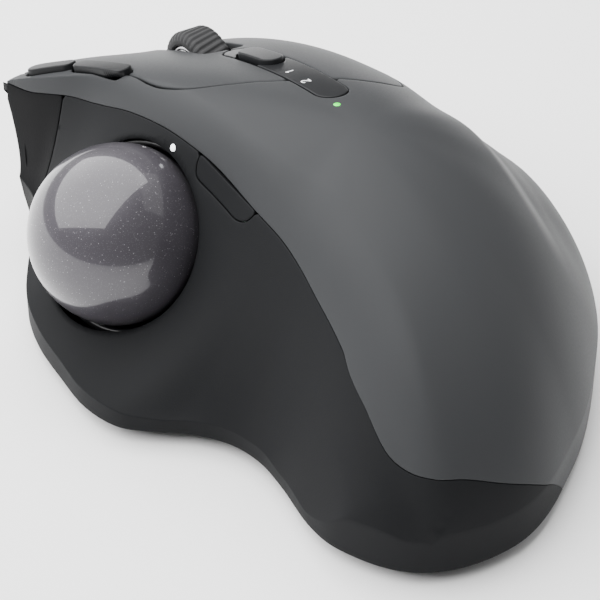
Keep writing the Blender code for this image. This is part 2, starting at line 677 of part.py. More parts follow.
def casing_rings():
    th = ANGLES
    deg = np.degrees(th)
    ax, ay = plan(th, GAP)
    bx, by = plan(th, WALL + GAP)
    lip_outer = height(*plan(th, 0.0))
    lip_inner = height_inside(*plan(th, WALL), WALL)
    drop = GAP + 1.2 * smooth((deg - 48.0) / 8.0) * (1.0 - smooth((deg - 112.0) / 5.0))
    rim = np.maximum(np.minimum(lip_outer, lip_inner) - drop, FLOOR_TOP + 0.4)
    near = np.minimum(np.roll(rim, 1), np.roll(rim, -1))
    rim = np.where((deg > 106) & (deg < 132), np.minimum(rim, near), rim)
    k = around(th, FOOT_IN[:, 0], FOOT_IN[:, 1])
    fx, fy = [], []
    for i, t in enumerate(th):
        px, py = plan(np.array([t]), k[i] + GAP)
        fx.append(px[0])
        fy.append(py[0])
    fx = np.array(fx)
    fy = np.array(fy)
    cx = MID[0] * SX
    cy = MID[1] * SY
    gone = np.hypot(fx - cx, fy - cy)
    low = np.minimum(rim - 0.3, BOTTOM + 0.9)

    def ring(x, y, z):
        return [(float(a), float(b), float(c)) for a, b, c in zip(x, y, np.broadcast_to(z, x.shape))]

    def inward(by):
        q = 1.0 - by / gone
        return cx + (fx - cx) * q, cy + (fy - cy) * q

    def behind_nose(x, y, z, back=0.0):
        return np.minimum(y, (60.0 + 0.375 * (z / SZ - 8.0)) * SY + 30.0 * SY * smooth((x / SX + 24.0) / 16.0) - back)

    ux, uy = inward(1.1)
    vx, vy = inward(WALL + 0.4)
    loops = [ring(ux, behind_nose(ux, uy, BOTTOM), BOTTOM), ring(fx, behind_nose(fx, fy, low), low),
             ring(ax, behind_nose(ax, ay, rim), rim), ring(bx, behind_nose(bx, by, rim, WALL), rim),
             ring(vx, behind_nose(vx, vy, FLOOR_TOP, WALL), FLOOR_TOP)]
    return loops


CASING = rings("lower_casing", casing_rings(), (BLACK, 0.5))
boolean(CASING, wheel_room)
USB_X = 16.0 * SX
USB_Z = BOARD_Z + BOARD_T
boolean(CASING, box("cut_plug_room", (USB_X - 4.3, 50.0, USB_Z - 0.37), (USB_X + 4.1, 90.0, USB_Z + 3.43)))

HINGE_X = 38.4 * SX
HINGE_Z = BOTTOM + 1.3
HINGE_Y = -5.0 * SY
boolean(CASING, box("cut_hinge_rib", (HINGE_X - 3.4, HINGE_Y - 12.0, BOTTOM + 0.2),
                    (HINGE_X + 1.7, HINGE_Y + 12.0, BOTTOM + 3.4)), "UNION")
for k, y in enumerate((-8.0, 8.0)):
    boolean(CASING, box("cut_knuckle_room_%d" % k, (HINGE_X - 3.4, HINGE_Y + y - 2.9, -1.0),
                        (HINGE_X + 9.0, HINGE_Y + y + 2.9, HINGE_Z + 2.3)))
boolean(CASING, rod("cut_pin_bore", (HINGE_X, HINGE_Y - 11.0, HINGE_Z), (HINGE_X, HINGE_Y + 11.0, HINGE_Z),
                    PIN_R + PIN_PLAY, 16))
rod("hinge_pin", (HINGE_X, HINGE_Y - 10.7, HINGE_Z), (HINGE_X, HINGE_Y + 10.7, HINGE_Z), PIN_R, 16, (STEEL, 0.3, 1.0))

SWITCH_AT = (-4.0 * SX, -55.5 * SY)
boolean(CASING, box("cut_slider_room", (SWITCH_AT[0] - 5.0, SWITCH_AT[1] - 1.8, -1.0),
                    (SWITCH_AT[0] + 5.0, SWITCH_AT[1] + 1.8, 7.0)))
slider = box("power_slider", (SWITCH_AT[0] - 3.0, SWITCH_AT[1] - 1.4, BOTTOM - 0.9),
             (SWITCH_AT[0] + 0.2, SWITCH_AT[1] + 1.4, FLOOR_TOP + 1.4), (DARK, 0.5))

# Board posts, and the screws that hold the board to them.
POSTS = [(-6.0 * SX, 1.0 * SY), (27.0 * SX, 0.0), (-6.5 * SX, 35.0 * SY), (24.0 * SX, 36.0 * SY)]
for k, (x, y) in enumerate(POSTS):
    boolean(CASING, rod("cut_post_%d" % k, (x, y, FLOOR_TOP - 0.5), (x, y, BOARD_Z - GAP), 2.6, 16), "UNION")
for k, (x, y) in enumerate(POSTS):
    boolean(CASING, rod("cut_post_bore_%d" % k, (x, y, BOARD_Z - 5.5), (x, y, BOARD_Z + 4.0), SCREW_R + 0.2, 16))
    turned("board_screw_%d" % (k + 1), (x, y, BOARD_Z - 5.0), (0, 0, 1),
           [(0.0, SCREW_R), (5.0 + BOARD_T + GAP, SCREW_R), (5.0 + BOARD_T + GAP, 1.9), (6.2 + BOARD_T + GAP, 1.9)],
           16, (STEEL, 0.35, 1.0))

# ---------------------------------------------------------------- base plate
def base_loop(extra, z):
    th = np.radians(np.arange(0, 360, 7.5))
    foot = around(th, FOOT_IN[:, 0], FOOT_IN[:, 1])
    pts = []
    for i, t in enumerate(th):
        px, py = plan(np.array([t]), foot[i] + extra)
        x = min(float(px[0]), HINGE_X)
        y = max(float(py[0]), -49.0 * SY)
        pts.append((x, y, z))
    return pts


plate = rings("tilt_plate", [base_loop(3.0, PAD), base_loop(3.0, PAD + PLATE)], (STEEL, 0.35, 1.0))
for k, y in enumerate((-8.0, 8.0)):
    knuckle = rings("cut_knuckle_%d" % k, [
        [(x, HINGE_Y + y + s, z) for x, z in
         [(HINGE_X - 3.0, PAD + 0.1), (HINGE_X + 0.4, PAD + 0.1)]
         + [(HINGE_X + 1.9 * cos(q), HINGE_Z + 1.9 * sin(q)) for q in np.linspace(-0.6, pi - 0.3, 9)]
         + [(HINGE_X - 3.0, PAD + PLATE)]]
        for s in (2.5, -2.5)])
    boolean(plate, knuckle, "UNION")
boolean(plate, rod("cut_plate_bore", (HINGE_X, HINGE_Y - 14, HINGE_Z), (HINGE_X, HINGE_Y + 14, HINGE_Z),
                   PIN_R + PIN_PLAY, 16))
rings("plate_pad", [base_loop(4.0, 0.0), base_loop(4.0, PAD - 0.02)], ((0.02, 0.02, 0.02), 0.9))
for k, (x, y) in enumerate(((-34.0 * SX, 12.0 * SY), (-14.0 * SX, -32.0 * SY))):
    turned("plate_magnet_%d" % (k + 1), (x, y, FLOOR_TOP + GAP), (0, 0, 1), [(0.0, 3.5), (1.5, 3.5)] if k else
           [(0.0, 2.5), (0.6, 2.5)], 20, (STEEL, 0.25, 1.0))

# ---------------------------------------------------------------- ball and cup
def sphere_profile(r, start=-pi / 2, stop=pi / 2, rows=17):
    return [(r * sin(a), max(0.02, r * cos(a))) for a in np.linspace(start, stop, rows)]


turned("ball", BALL_AT, BALL_OUT, sphere_profile(BALL_R), 32, ((0.16, 0.15, 0.17), 0.15, 0.6))
CUP_IN = BALL_R + BALL_GAP
CUP_OUT = CUP_IN + CUP_WALL
mouth = -0.16
section = [(CUP_IN * sin(a), CUP_IN * cos(a)) for a in np.linspace(mouth, -1.36, 9)]
section += [(CUP_OUT * sin(a), CUP_OUT * cos(a)) for a in np.linspace(-1.36, mouth, 9)]
cup = ring_turned("ball_cup", BALL_AT, BALL_OUT, section, 28, (BLACK, 0.4))
boolean(cup, inside, "INTERSECT")
across_u, across_v, _ = frame_of(BALL_OUT)
for k in range(3):
    q = TAU * k / 3 + 0.5
    ray = (-BALL_OUT * 0.66 + (across_u * cos(q) + across_v * sin(q)) * 0.75).normalized()
    boolean(cup, rod("cut_stud_%d" % k, BALL_AT + ray * (CUP_IN - 1.5), BALL_AT + ray * (CUP_OUT + 2.0), 1.2, 12))
    turned("bearing_stud_%d" % (k + 1), BALL_AT + ray * (BALL_R + GAP), ray,
           [(0.0, 0.35), (0.3, 0.8), (0.8, 0.95), (CUP_OUT - BALL_R - GAP, 0.95)], 12, ((0.7, 0.7, 0.72), 0.2))
turned("sensor_lens", BALL_AT - BALL_OUT * (CUP_IN + 0.3), -BALL_OUT, [(0.0, 2.2), (0.5, 2.8), (2.2, 2.8)], 16,
       ((0.6, 0.62, 0.65), 0.1))
block("ball_sensor", BALL_AT - BALL_OUT * (CUP_OUT + 3.4), across_u, across_v, BALL_OUT, (7.0, 7.0, 2.0),
      (BLACK, 0.5))

# ---------------------------------------------------------------- wheel group
WHEEL_AT = Vector((WHEEL_X, WHEEL_Y, on_top(WHEEL_X, WHEEL_Y).z + WHEEL_LIFT - WHEEL_R))
half = WHEEL_W / 2
tyre_in = WHEEL_R * 0.76
ring_turned("wheel_tyre", WHEEL_AT, (1, 0, 0),
            [(-half, tyre_in), (-half, WHEEL_R - 0.9), (-half + 0.9, WHEEL_R), (half - 0.9, WHEEL_R),
             (half, WHEEL_R - 0.9), (half, tyre_in)], 32, ((0.05, 0.05, 0.05), 0.8))
rim_out = tyre_in - 0.05
rim_bore = AXLE_R + AXLE_PLAY
ring_turned("wheel_rim", WHEEL_AT, (1, 0, 0),
            [(-half + 0.2, rim_out - 0.6), (-half + 0.5, rim_out), (half - 0.5, rim_out), (half - 0.2, rim_out - 0.6),
             (half - 0.9, rim_out - 2.0), (half - 0.9, 2.6), (half - 0.2, 2.2), (half - 0.2, rim_bore),
             (-half + 0.2, rim_bore), (-half + 0.2, 2.2), (-half + 0.9, 2.6), (-half + 0.9, rim_out - 2.0)],
            32, (STEEL, 0.2, 1.0))
ARM_IN = half + 0.4
ARM_OUT = ARM_IN + 1.2
TILT_Z = WHEEL_AT.z - WHEEL_R - 2.0
YOKE_LOW = TILT_Z - 1.5
rod("wheel_axle", WHEEL_AT + Vector((-ARM_OUT, 0, 0)), WHEEL_AT + Vector((ARM_OUT + 1.2, 0, 0)), AXLE_R, 20,
    (STEEL, 0.3, 1.0))
yoke = box("wheel_yoke", (WHEEL_X - ARM_OUT, WHEEL_Y - 5.0, YOKE_LOW),
           (WHEEL_X + ARM_OUT, WHEEL_Y + 2.1, WHEEL_AT.z + 2.0), ((0.5, 0.5, 0.48), 0.5))
boolean(yoke, box("cut_yoke_gap", (WHEEL_X - ARM_IN, WHEEL_Y - 20.0, TILT_Z + 1.5),
                  (WHEEL_X + ARM_IN, WHEEL_Y + 20.0, 90.0)))
boolean(yoke, rod("cut_yoke_axle", WHEEL_AT + Vector((-9, 0, 0)), WHEEL_AT + Vector((9, 0, 0)), AXLE_R + 0.05, 20))
boolean(yoke, rod("cut_yoke_bore", (WHEEL_X, WHEEL_Y - 9.0, TILT_Z), (WHEEL_X, WHEEL_Y + 9.0, TILT_Z),
                  1.0 + AXLE_PLAY, 16))
cradle = box("wheel_cradle", (WHEEL_X - 3.0, WHEEL_Y - 8.0, YOKE_LOW - 2.6), (WHEEL_X + 3.0, WHEEL_Y + 3.7, TILT_Z + 2.8),
             (BLACK, 0.5))
boolean(cradle, box("cut_cradle_gap", (WHEEL_X - 20.0, WHEEL_Y - 5.6, YOKE_LOW - 0.9),
                    (WHEEL_X + 20.0, WHEEL_Y + 2.4, 90.0)))
boolean(cradle, box("cut_cradle_front", (WHEEL_X - 20.0, WHEEL_Y, TILT_Z + 1.6), (WHEEL_X + 20.0, 90.0, 90.0)))
boolean(cradle, rod("cut_cradle_pivot", (WHEEL_X, WHEEL_Y - 7.0, TILT_Z), (WHEEL_X, WHEEL_Y + 3.0, TILT_Z), 1.0, 16),
        "UNION")
boolean(cradle, box("cut_cradle_tab", (WHEEL_X - 2.0, WHEEL_Y - 13.0, TILT_Z + 1.6),
                    (WHEEL_X + 2.0, WHEEL_Y - 7.0, TILT_Z + 2.7)), "UNION")
box("wheel_encoder", (WHEEL_X + ARM_OUT + 0.3, WHEEL_Y - 4.0, WHEEL_AT.z - 5.0),
    (WHEEL_X + ARM_OUT + 3.0, WHEEL_Y + 3.0, WHEEL_AT.z + 2.3), (BLACK, 0.5))
boolean(bpy.data.objects["wheel_encoder"],
        rod("cut_encoder_bore", WHEEL_AT, WHEEL_AT + Vector((20, 0, 0)), AXLE_R + 0.1, 16))

# ---------------------------------------------------------------- board and its switches
board_plan = scaled([(-9.6, -4.0), (30.5, -4.0), (31.5, 18.0), (27.5, 42.0), (20.5, 53.0), (13.0, 55.5),
                     (-9.6, 55.5)])
board = prism("main_board", board_plan, BOARD_Z, BOARD_Z + BOARD_T, ((0.01, 0.12, 0.05), 0.4))
boolean(board, box("cut_wheel_bay", (WHEEL_X - ARM_OUT - 1.0, WHEEL_Y - 9.5, 0.0), (WHEEL_X + ARM_OUT + 1.0, 90.0, 90.0)))
for k, (x, y) in enumerate(POSTS):
    boolean(board, rod("cut_board_hole_%d" % k, (x, y, 0.0), (x, y, 50.0), SCREW_R + 0.15, 16))
BOARD_TOP = BOARD_Z + BOARD_T + GAP
for side, x in (("left", LEFT_X), ("right", RIGHT_X)):
    box(side + "_switch", (x - 2.9, MAIN_Y - 6.4, BOARD_TOP), (x + 2.9, MAIN_Y + 6.4, BOARD_TOP + SWITCH_H - GAP),
        (BLACK, 0.4))
tab_low = TILT_Z + 1.6 - PRESS - GAP
box("middle_switch", (WHEEL_X - 2.5, WHEEL_Y - 15.0, BOARD_TOP), (WHEEL_X + 2.5, WHEEL_Y - 10.2, tab_low),
    (BLACK, 0.4))
box("charging_socket", (USB_X - 3.8, 51.9 * SY, BOARD_TOP), (USB_X + 3.8, 51.9 * SY + 5.4, BOARD_TOP + 2.7), (STEEL, 0.3, 1.0))
boolean(bpy.data.objects["charging_socket"],
        box("cut_socket_mouth", (USB_X - 3.4, 51.9 * SY + 1.0, BOARD_TOP + 0.4), (USB_X + 3.4, 90.0, BOARD_TOP + 2.3)))


def tact(name, at, out, drop, wide):
    """A small switch behind a key, square to the key."""
    u, v, w = frame_of(out)
    block(name, at - w * (drop + TACT_H / 2), u, v, w, (wide, wide, TACT_H), (BLACK, 0.4))


def middle(points):
    return (sum(p[0] for p in points) / len(points), sum(p[1] for p in points) / len(points))


for name, points, lean, depth, wide in (("back_switch", BACK_PLAN, (-0.5, 0, 1), 4.1, 2.8),
                                        ("forward_switch", FORWARD_PLAN, (-0.5, 0.25, 1), 4.1, 2.8),
                                        ("device_switch", SWITCH_PLAN, (0, 0, 1), 4.6, 3.4)):
    tact(name, on_top(*middle(points)), lean, depth, wide)
tact("precision_switch", KEY_MID, KEY_OUT, 3.4, 4.5)
box("battery", (-9.0 * SX, -43.0 * SY, FLOOR_TOP + GAP), (22.0 * SX, -19.0 * SY, FLOOR_TOP + GAP + 5.4),
    ((0.05, 0.12, 0.3), 0.4))

# ---------------------------------------------------------------- joint origins
def joint(name, at, pieces):
    """An empty on a joint's axis that carries the pieces that move with it."""
    empty = bpy.data.objects.new(name, None)
    empty.location = (Vector(at) + SHIFT) * MM
    empty.empty_display_size = 0.004
    PARTS.objects.link(empty)
    bpy.context.view_layer.update()
    for piece in pieces:
        obj = bpy.data.objects[piece]
        obj.parent = empty
        obj.matrix_parent_inverse = Matrix.Translation(empty.location).inverted()


joint("plate_axis", (HINGE_X, HINGE_Y, HINGE_Z), ["tilt_plate", "plate_pad"])
joint("ball_axis", BALL_AT, ["ball"])
joint("left_axis", (-6.0 * SX, 24.0 * SY, on_top(-6.0 * SX, 24.0 * SY).z - WALL / 2), ["left_button"])
joint("right_axis", (16.0 * SX, 14.0 * SY, on_top(16.0 * SX, 14.0 * SY).z - WALL / 2), ["right_button"])
joint("wheel_axis", WHEEL_AT, ["wheel_tyre", "wheel_rim"])
joint("tilt_axis", (WHEEL_X, WHEEL_Y, TILT_Z), ["wheel_yoke", "wheel_axle", "wheel_encoder"])
joint("press_axis", (WHEEL_X, WHEEL_Y, YOKE_LOW), ["wheel_cradle"])
for name, points in (("back", BACK_PLAN), ("forward", FORWARD_PLAN), ("device", SWITCH_PLAN)):
    joint(name + "_axis", on_top(*middle(points)), [name + "_button"])
joint("precision_axis", KEY_MID, ["precision_button"])
joint("power_axis", (SWITCH_AT[0], SWITCH_AT[1], BOTTOM), ["power_slider"])
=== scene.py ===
"""Finished surfaces of a cordless right-hand trackball mouse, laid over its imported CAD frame.

Shapes are worked out in millimetres in the mouse's own frame: +Z up, +Y the wheel end, +X the outer side of
the hand. Each panel is a share of the body's outer surface, cut along its joints, with a rolled edge and a
thickness.
"""

import json
from math import cos, pi, sin

import bpy
import numpy as np
from mathutils import Matrix, Vector


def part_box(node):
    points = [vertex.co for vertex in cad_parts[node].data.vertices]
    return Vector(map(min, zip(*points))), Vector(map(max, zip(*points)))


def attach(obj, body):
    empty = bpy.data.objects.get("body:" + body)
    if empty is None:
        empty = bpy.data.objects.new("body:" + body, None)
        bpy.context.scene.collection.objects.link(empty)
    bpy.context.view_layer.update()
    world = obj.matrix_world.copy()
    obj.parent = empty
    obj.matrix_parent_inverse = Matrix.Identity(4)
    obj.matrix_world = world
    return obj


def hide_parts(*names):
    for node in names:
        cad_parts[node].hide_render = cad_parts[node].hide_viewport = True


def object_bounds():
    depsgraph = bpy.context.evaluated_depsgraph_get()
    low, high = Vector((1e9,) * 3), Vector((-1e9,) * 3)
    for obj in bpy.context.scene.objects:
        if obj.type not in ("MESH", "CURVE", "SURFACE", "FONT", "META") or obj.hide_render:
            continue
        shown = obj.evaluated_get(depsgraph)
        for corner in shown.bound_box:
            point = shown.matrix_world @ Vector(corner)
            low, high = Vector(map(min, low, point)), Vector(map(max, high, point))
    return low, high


bl_info = {
    "name": "Trackball mouse",
    "version": (1, 0, 0),
    "blender": (4, 5, 0),
    "location": "3D View > Sidebar > Mouse",
    "description": "Builds the finished surfaces of a thumb trackball mouse around its CAD frame",
    "category": "Add Mesh",
}

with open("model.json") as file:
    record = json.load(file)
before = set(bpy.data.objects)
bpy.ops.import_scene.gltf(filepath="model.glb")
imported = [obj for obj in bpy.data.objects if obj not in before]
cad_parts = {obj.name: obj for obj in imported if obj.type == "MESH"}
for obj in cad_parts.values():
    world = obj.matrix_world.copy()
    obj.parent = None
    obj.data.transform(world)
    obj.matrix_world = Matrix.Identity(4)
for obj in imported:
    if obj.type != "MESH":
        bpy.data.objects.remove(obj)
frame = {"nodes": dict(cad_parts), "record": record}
BOX_AT_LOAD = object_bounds()

MM = 0.001
TAU = 2.0 * pi
MID = (4.0, -3.0)
SHIFT = np.array([0.21, -0.9, 0.0])
FULL_HEIGHT = (BOX_AT_LOAD[1].z - BOX_AT_LOAD[0].z) / MM
# How far the panels' lower edge stands in from the body's edge, and how high the dark skirt's foot is.
LIP_INSET = 0.35
SKIRT_FOOT = 3.1
SKIRT_ROWS = 9
# Radius of the rolled edges on the skirt, casing and strip, and the room left round the ball.
FINE_EDGE = 0.2
BALL_ROOM = 1.0
BALL_LO, BALL_HI = (np.array(corner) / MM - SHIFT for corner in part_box("ball"))
BALL_AT = (BALL_LO + BALL_HI) / 2
BALL_R = float((BALL_HI - BALL_LO).max() / 2)
BALL_OUT = np.array([-0.766, -0.205, 0.609]) / np.linalg.norm([-0.766, -0.205, 0.609])
TYRE_LO, TYRE_HI = (np.array(corner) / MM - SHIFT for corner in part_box("wheel_tyre"))
WHEEL_AT = (TYRE_LO + TYRE_HI) / 2
WHEEL_R = float((TYRE_HI[2] - TYRE_LO[2]) / 2)
WHEEL_HALF = float((TYRE_HI[0] - TYRE_LO[0]) / 2)

# The dome: direction in degrees, reach, edge height, spread, roundness.
DOME = np.array([
    [0, 45.8, 11.0, 2.0, 1.25], [25, 45.5, 14.0, 2.0, 1.15], [50, 55.0, 20.0, 1.9, 1.05],
    [75, 66.6, 26.0, 1.8, 1.0], [95, 69.5, 28.0, 1.8, 1.0], [119, 80.0, 30.0, 1.9, 1.1],
    [150, 60.0, 22.0, 2.0, 1.5], [180, 48.0, 10.0, 2.1, 1.9], [210, 46.0, 6.0, 2.1, 2.0],
    [235, 58.0, 5.5, 2.1, 2.1], [250, 64.8, 5.5, 2.1, 2.0], [265, 63.8, 5.5, 2.1, 1.9],
    [285, 55.0, 5.5, 2.1, 1.8], [305, 48.8, 5.5, 2.1, 1.7], [325, 46.4, 7.0, 2.0, 1.5],
    [345, 45.8, 9.0, 2.0, 1.35],
], float)
# The thumb side: station, ridge, lip, lip height, slope at lip, slope at ridge, softness of the ridge.
FLANK = np.array([
    [69, -33.0, -34.4, 12.0, 80, 86, 1.0], [60, -29.4, -34.3, 11.0, 45, 84, 1.2],
    [56, -27.5, -34.9, 11.0, 30, 82, 1.5], [48, -23.0, -37.8, 10.0, 30, 70, 2.0],
    [38, -19.2, -44.0, 9.0, 32, 58, 3.0], [28, -17.0, -48.4, 8.5, 30, 56, 4.0],
    [18, -15.8, -49.9, 8.0, 20, 62, 5.0], [7, -14.8, -50.0, 7.5, 14, 68, 6.0],
    [-4, -14.0, -47.2, 7.0, 12, 68, 8.0], [-12, -13.6, -38.0, 6.0, 25, 66, 10.0],
    [-20, -13.6, -31.0, 6.0, 50, 66, 12.0], [-28, -14.0, -28.7, 5.8, 66, 68, 13.0],
    [-40, -15.0, -29.0, 5.5, 70, 68, 14.0], [-52, -16.5, -29.5, 5.5, 70, 70, 14.0],
    [-66, -18.5, -30.5, 5.5, 72, 74, 14.0],
], float)
# Plan of the lip along the thumb side and the pointed front corner.
THUMB_LIP = np.array([
    (31, 54), (22, 60.5), (10, 64.5), (-3, 66), (-16, 66.8), (-27, 67.8), (-32.5, 68.2), (-34.3, 65.5),
    (-34.2, 60), (-35, 54), (-38.5, 47), (-43.5, 39), (-47.6, 31), (-49.6, 22), (-49.9, 12), (-49.6, 3),
    (-47, -4.5), (-42.5, -8.8), (-36.5, -13.2), (-31.5, -19), (-29, -26), (-28.7, -34), (-29.3, -44),
    (-28.5, -53), (-24.5, -60), (-17.5, -64),
], float)
# Height of the joint between the grey shell and the thumb panel, by station.
SEAM = np.array([
    (69, 29.8), (61.6, 30.7), (57.1, 32.3), (52.9, 33.8), (46.6, 35.4), (34.9, 39.4), (26, 41.4),
    (13.9, 42.2), (-4.2, 40.6), (-12.5, 39.6), (-19.6, 38.0), (-25.9, 36.0), (-32.2, 34.0), (-38.2, 31.6),
    (-45.2, 28.2), (-49.2, 25.3), (-53.1, 22.8), (-57.0, 21.4), (-70, 20.5),
], float)
# How far the foot of the casing stands in from its lip, by direction.
FOOT_IN = np.array([(0, 5.2), (30, 5.4), (60, 6.2), (90, 4.8), (110, 5.4), (125, 4.0), (140, 2.4), (160, 1.6),
                    (200, 1.3), (240, 1.3), (270, 1.6), (300, 2.6), (330, 4.2)], float)
# Height of the same joint across the tail, by distance to the side: it runs out under the lip on the right.
TAIL_SEAM = np.array([(-30, 21.6), (-15.8, 21.3), (-10.8, 20.9), (-3.7, 18.0), (5.1, 12.9), (9.3, 9.4),
                      (14.0, 3.6), (24.0, -12.0), (60.0, -40.0)], float)
# Station where the thumb panel meets the recessed cheek.
CHEEK_Y = 53.6
# The line round both main buttons: the rail beside the side keys, the curved split behind, the outer edge.
KEY_EDGE = [(-32.5, 80.0), (-28.8, 67.0), (-25.4, 61.5), (-22.8, 56.5), (-20.2, 47.0), (-18.4, 40.4),
            (-17.6, 34.8), (-16.3, 30.5), (-13.4, 26.3), (-7.1, 22.7), (-1.0, 20.2), (4.9, 17.4),
            (12.9, 13.4), (18.3, 12.0), (22.6, 12.6), (25.6, 15.0), (27.6, 20.0), (30.0, 30.0), (32.4, 42.0),
            (34.2, 54.0), (37.0, 80.0)]
# Long ovals in plan: the two ends of the middle line and the half width.
STRIP = ((6.9, 10.6), (5.1, 40.8), 3.3)
SWITCH = ((5.75, 30.4), (5.35, 37.6), 2.38)
BACK_KEY = ((-18.9, 43.9), (-22.2, 54.2), 1.9)
FORWARD_KEY = ((-23.7, 58.6), (-27.6, 64.0), 1.9)
# The long flush key beside the ball, drawn on the wall as station and height.
PRECISION = [(13.3, 42.1), (9.0, 41.7), (4.7, 41.3), (0.0, 40.95), (-4.2, 40.6), (-4.3, 39.9), (-3.4, 38.3),
             (-2.0, 37.4), (-0.1, 37.0), (2.6, 37.25), (7.2, 37.7), (11.8, 38.3), (13.2, 39.7), (13.6, 41.1)]
SPLIT_X = 4.9
SLOT_HALF = WHEEL_HALF + 1.3


# ---------------------------------------------------------------- the form
def hermite(at, knots, values):
    """Cubic through the knots: in each span the end values and slopes, weighted by the Hermite cubics."""
    order = np.argsort(knots)
    k = np.asarray(knots, float)[order]
    v = np.asarray(values, float)[order]
    h = np.diff(k)
    d = np.diff(v) / h
    m = np.empty_like(v)
    m[1:-1] = (d[:-1] * h[1:] + d[1:] * h[:-1]) / (h[1:] + h[:-1])
    m[0] = d[0]
    m[-1] = d[-1]
    at = np.clip(at, k[0], k[-1])
    i = np.clip(np.searchsorted(k, at, side="right") - 1, 0, len(k) - 2)
    t = (at - k[i]) / h[i]
    return ((2 * t**3 - 3 * t**2 + 1) * v[i] + (t**3 - 2 * t**2 + t) * h[i] * m[i]
            + (3 * t**2 - 2 * t**3) * v[i + 1] + (t**3 - t**2) * h[i] * m[i + 1])


def around(theta, knots, values):
    """The same cubic closed on itself, for a quantity that depends on direction."""
    k = np.concatenate([knots - 360.0, knots, knots + 360.0])
    return hermite(np.mod(np.degrees(theta), 360.0), k, np.tile(values, 3))


def soft_min(a, b, k):
    """The lesser of two heights, with a parabola of width k where they cross."""
    h = np.clip(0.5 + 0.5 * (b - a) / k, 0.0, 1.0)
    return b + (a - b) * h - k * h * (1.0 - h)


def smooth(t):
    """Three t squared less two t cubed, between 0 and 1."""
    t = np.clip(t, 0.0, 1.0)
    return t * t * (3.0 - 2.0 * t)


def flowing(points, steps, closed=False):
    """Catmull-Rom curve through plan points: a cubic per span, its slope half the span across each point."""
    p = np.asarray(points, float)
    p = np.vstack([p[-1], p, p[:2]]) if closed else np.vstack([2 * p[0] - p[1], p, 2 * p[-1] - p[-2]])
    spans = len(p) - 3
    t = np.linspace(0, spans, spans * steps, endpoint=False)
    i = t.astype(int)
    f = (t - i)[:, None]
    a, b, c, d = p[i], p[i + 1], p[i + 2], p[i + 3]
    q = 0.5 * (2 * b + (c - a) * f + (2 * a - 5 * b + 4 * c - d) * f**2 + (3 * b - a - 3 * c + d) * f**3)
    return q if closed else np.vstack([q, p[-2]])


LIP_CURVE = flowing(THUMB_LIP, 40)[40:-40]
LIP_ANGLE = np.degrees(np.arctan2(LIP_CURVE[:, 1] - MID[1], LIP_CURVE[:, 0] - MID[0])) % 360.0
LIP_REACH = np.hypot(LIP_CURVE[:, 0] - MID[0], LIP_CURVE[:, 1] - MID[1])[np.argsort(LIP_ANGLE)]
LIP_ANGLE = np.sort(LIP_ANGLE)


def outline(theta):
    """Reach of the body's edge in plan: the dome's reach, blended into the thumb lip from 60 to 246 degrees.
    At the tail the lip stays within the dome."""
    angle = np.mod(np.degrees(theta), 360.0)
    dome = around(theta, DOME[:, 0], DOME[:, 1]) - 0.3
    lip = np.interp(angle, LIP_ANGLE, LIP_REACH)
    w = smooth((angle - 60.0) / 15.0) * (1.0 - smooth((angle - 238.0) / 8.0))
    lip = np.where(angle > 200.0, soft_min(lip, dome, 4.0), lip)
    return dome + (lip - dome) * w


def plan(theta, inset=0.0):
    """Points of the body's edge in plan, moved in along the ray from the middle."""
    r = outline(theta) - inset
    return MID[0] + r * np.cos(theta), MID[1] + r * np.sin(theta)


def dome_height(x, y):
    """Edge height plus the rest of the height times (1 - fraction of the reach to the power of the spread) to
    the power of one over the roundness."""
    dx = x - MID[0]
    dy = y - MID[1]
    th = np.arctan2(dy, dx)
    reach, edge, p, q = (around(th, DOME[:, 0], DOME[:, i]) for i in (1, 2, 3, 4))
    rho = np.clip(np.hypot(dx, dy) / reach, 0.0, 1.0)
    return edge + (FULL_HEIGHT - edge) * np.clip(1.0 - rho**p, 0.0, 1.0) ** (1.0 / q)


def height(x, y):
    """The lesser of the dome and a thumb flank, a cubic from lip to ridge, less the finger scoop."""
    ridge, lip, low, a0, a1, soft = (hermite(y, FLANK[:, 0], FLANK[:, i]) for i in range(1, 7))
    top = dome_height(ridge, y)
    t0 = np.tan(np.radians(a0))
    t1 = np.tan(np.radians(a1))
    w = ridge - lip
    t = (x - lip) / w
    u = np.clip(t, 0.0, 1.0)
    side = low + (top - low) * (3 * u**2 - 2 * u**3) + w * t0 * (u**3 - 2 * u**2 + u) + w * t1 * (u**3 - u**2)
    side = side + np.where(t > 1, (x - ridge) * t1, 0.0) + np.where(t < 0, (x - lip) * t0, 0.0)
    scoop = 1.6 * smooth((x - 28.0) / 5.0) * (1.0 - smooth((x - 36.0) / 9.0))
    scoop = scoop * smooth((y + 36.0) / 18.0) * (1.0 - smooth((y - 14.0) / 18.0))
    over = dome_height(x, y)
    soft = soft * np.clip((np.minimum(over, side) - 5.0) / 14.0, 0.05, 1.0)
    return soft_min(over, side, soft) - scoop


def on_top(x, y):
    """The point of the outer surface over a point of the plan, and its unit normal."""
    x = np.atleast_1d(np.asarray(x, float))
    y = np.atleast_1d(np.asarray(y, float))
    step = 0.3
    gx = (height(x + step, y) - height(x - step, y)) / (2 * step)
    gy = (height(x, y + step) - height(x, y - step)) / (2 * step)
    normal = np.stack([-gx, -gy, np.ones_like(gx)], -1)
    return np.stack([x, y, height(x, y)], -1), normal / np.linalg.norm(normal, axis=-1, keepdims=True)


def wall_point(y, z):
    """The point of the thumb wall at a station and height."""
    xs = np.linspace(-36.0, -10.0, 1041)
    return on_top(np.interp(z, height(xs, np.full_like(xs, y)), xs), y)


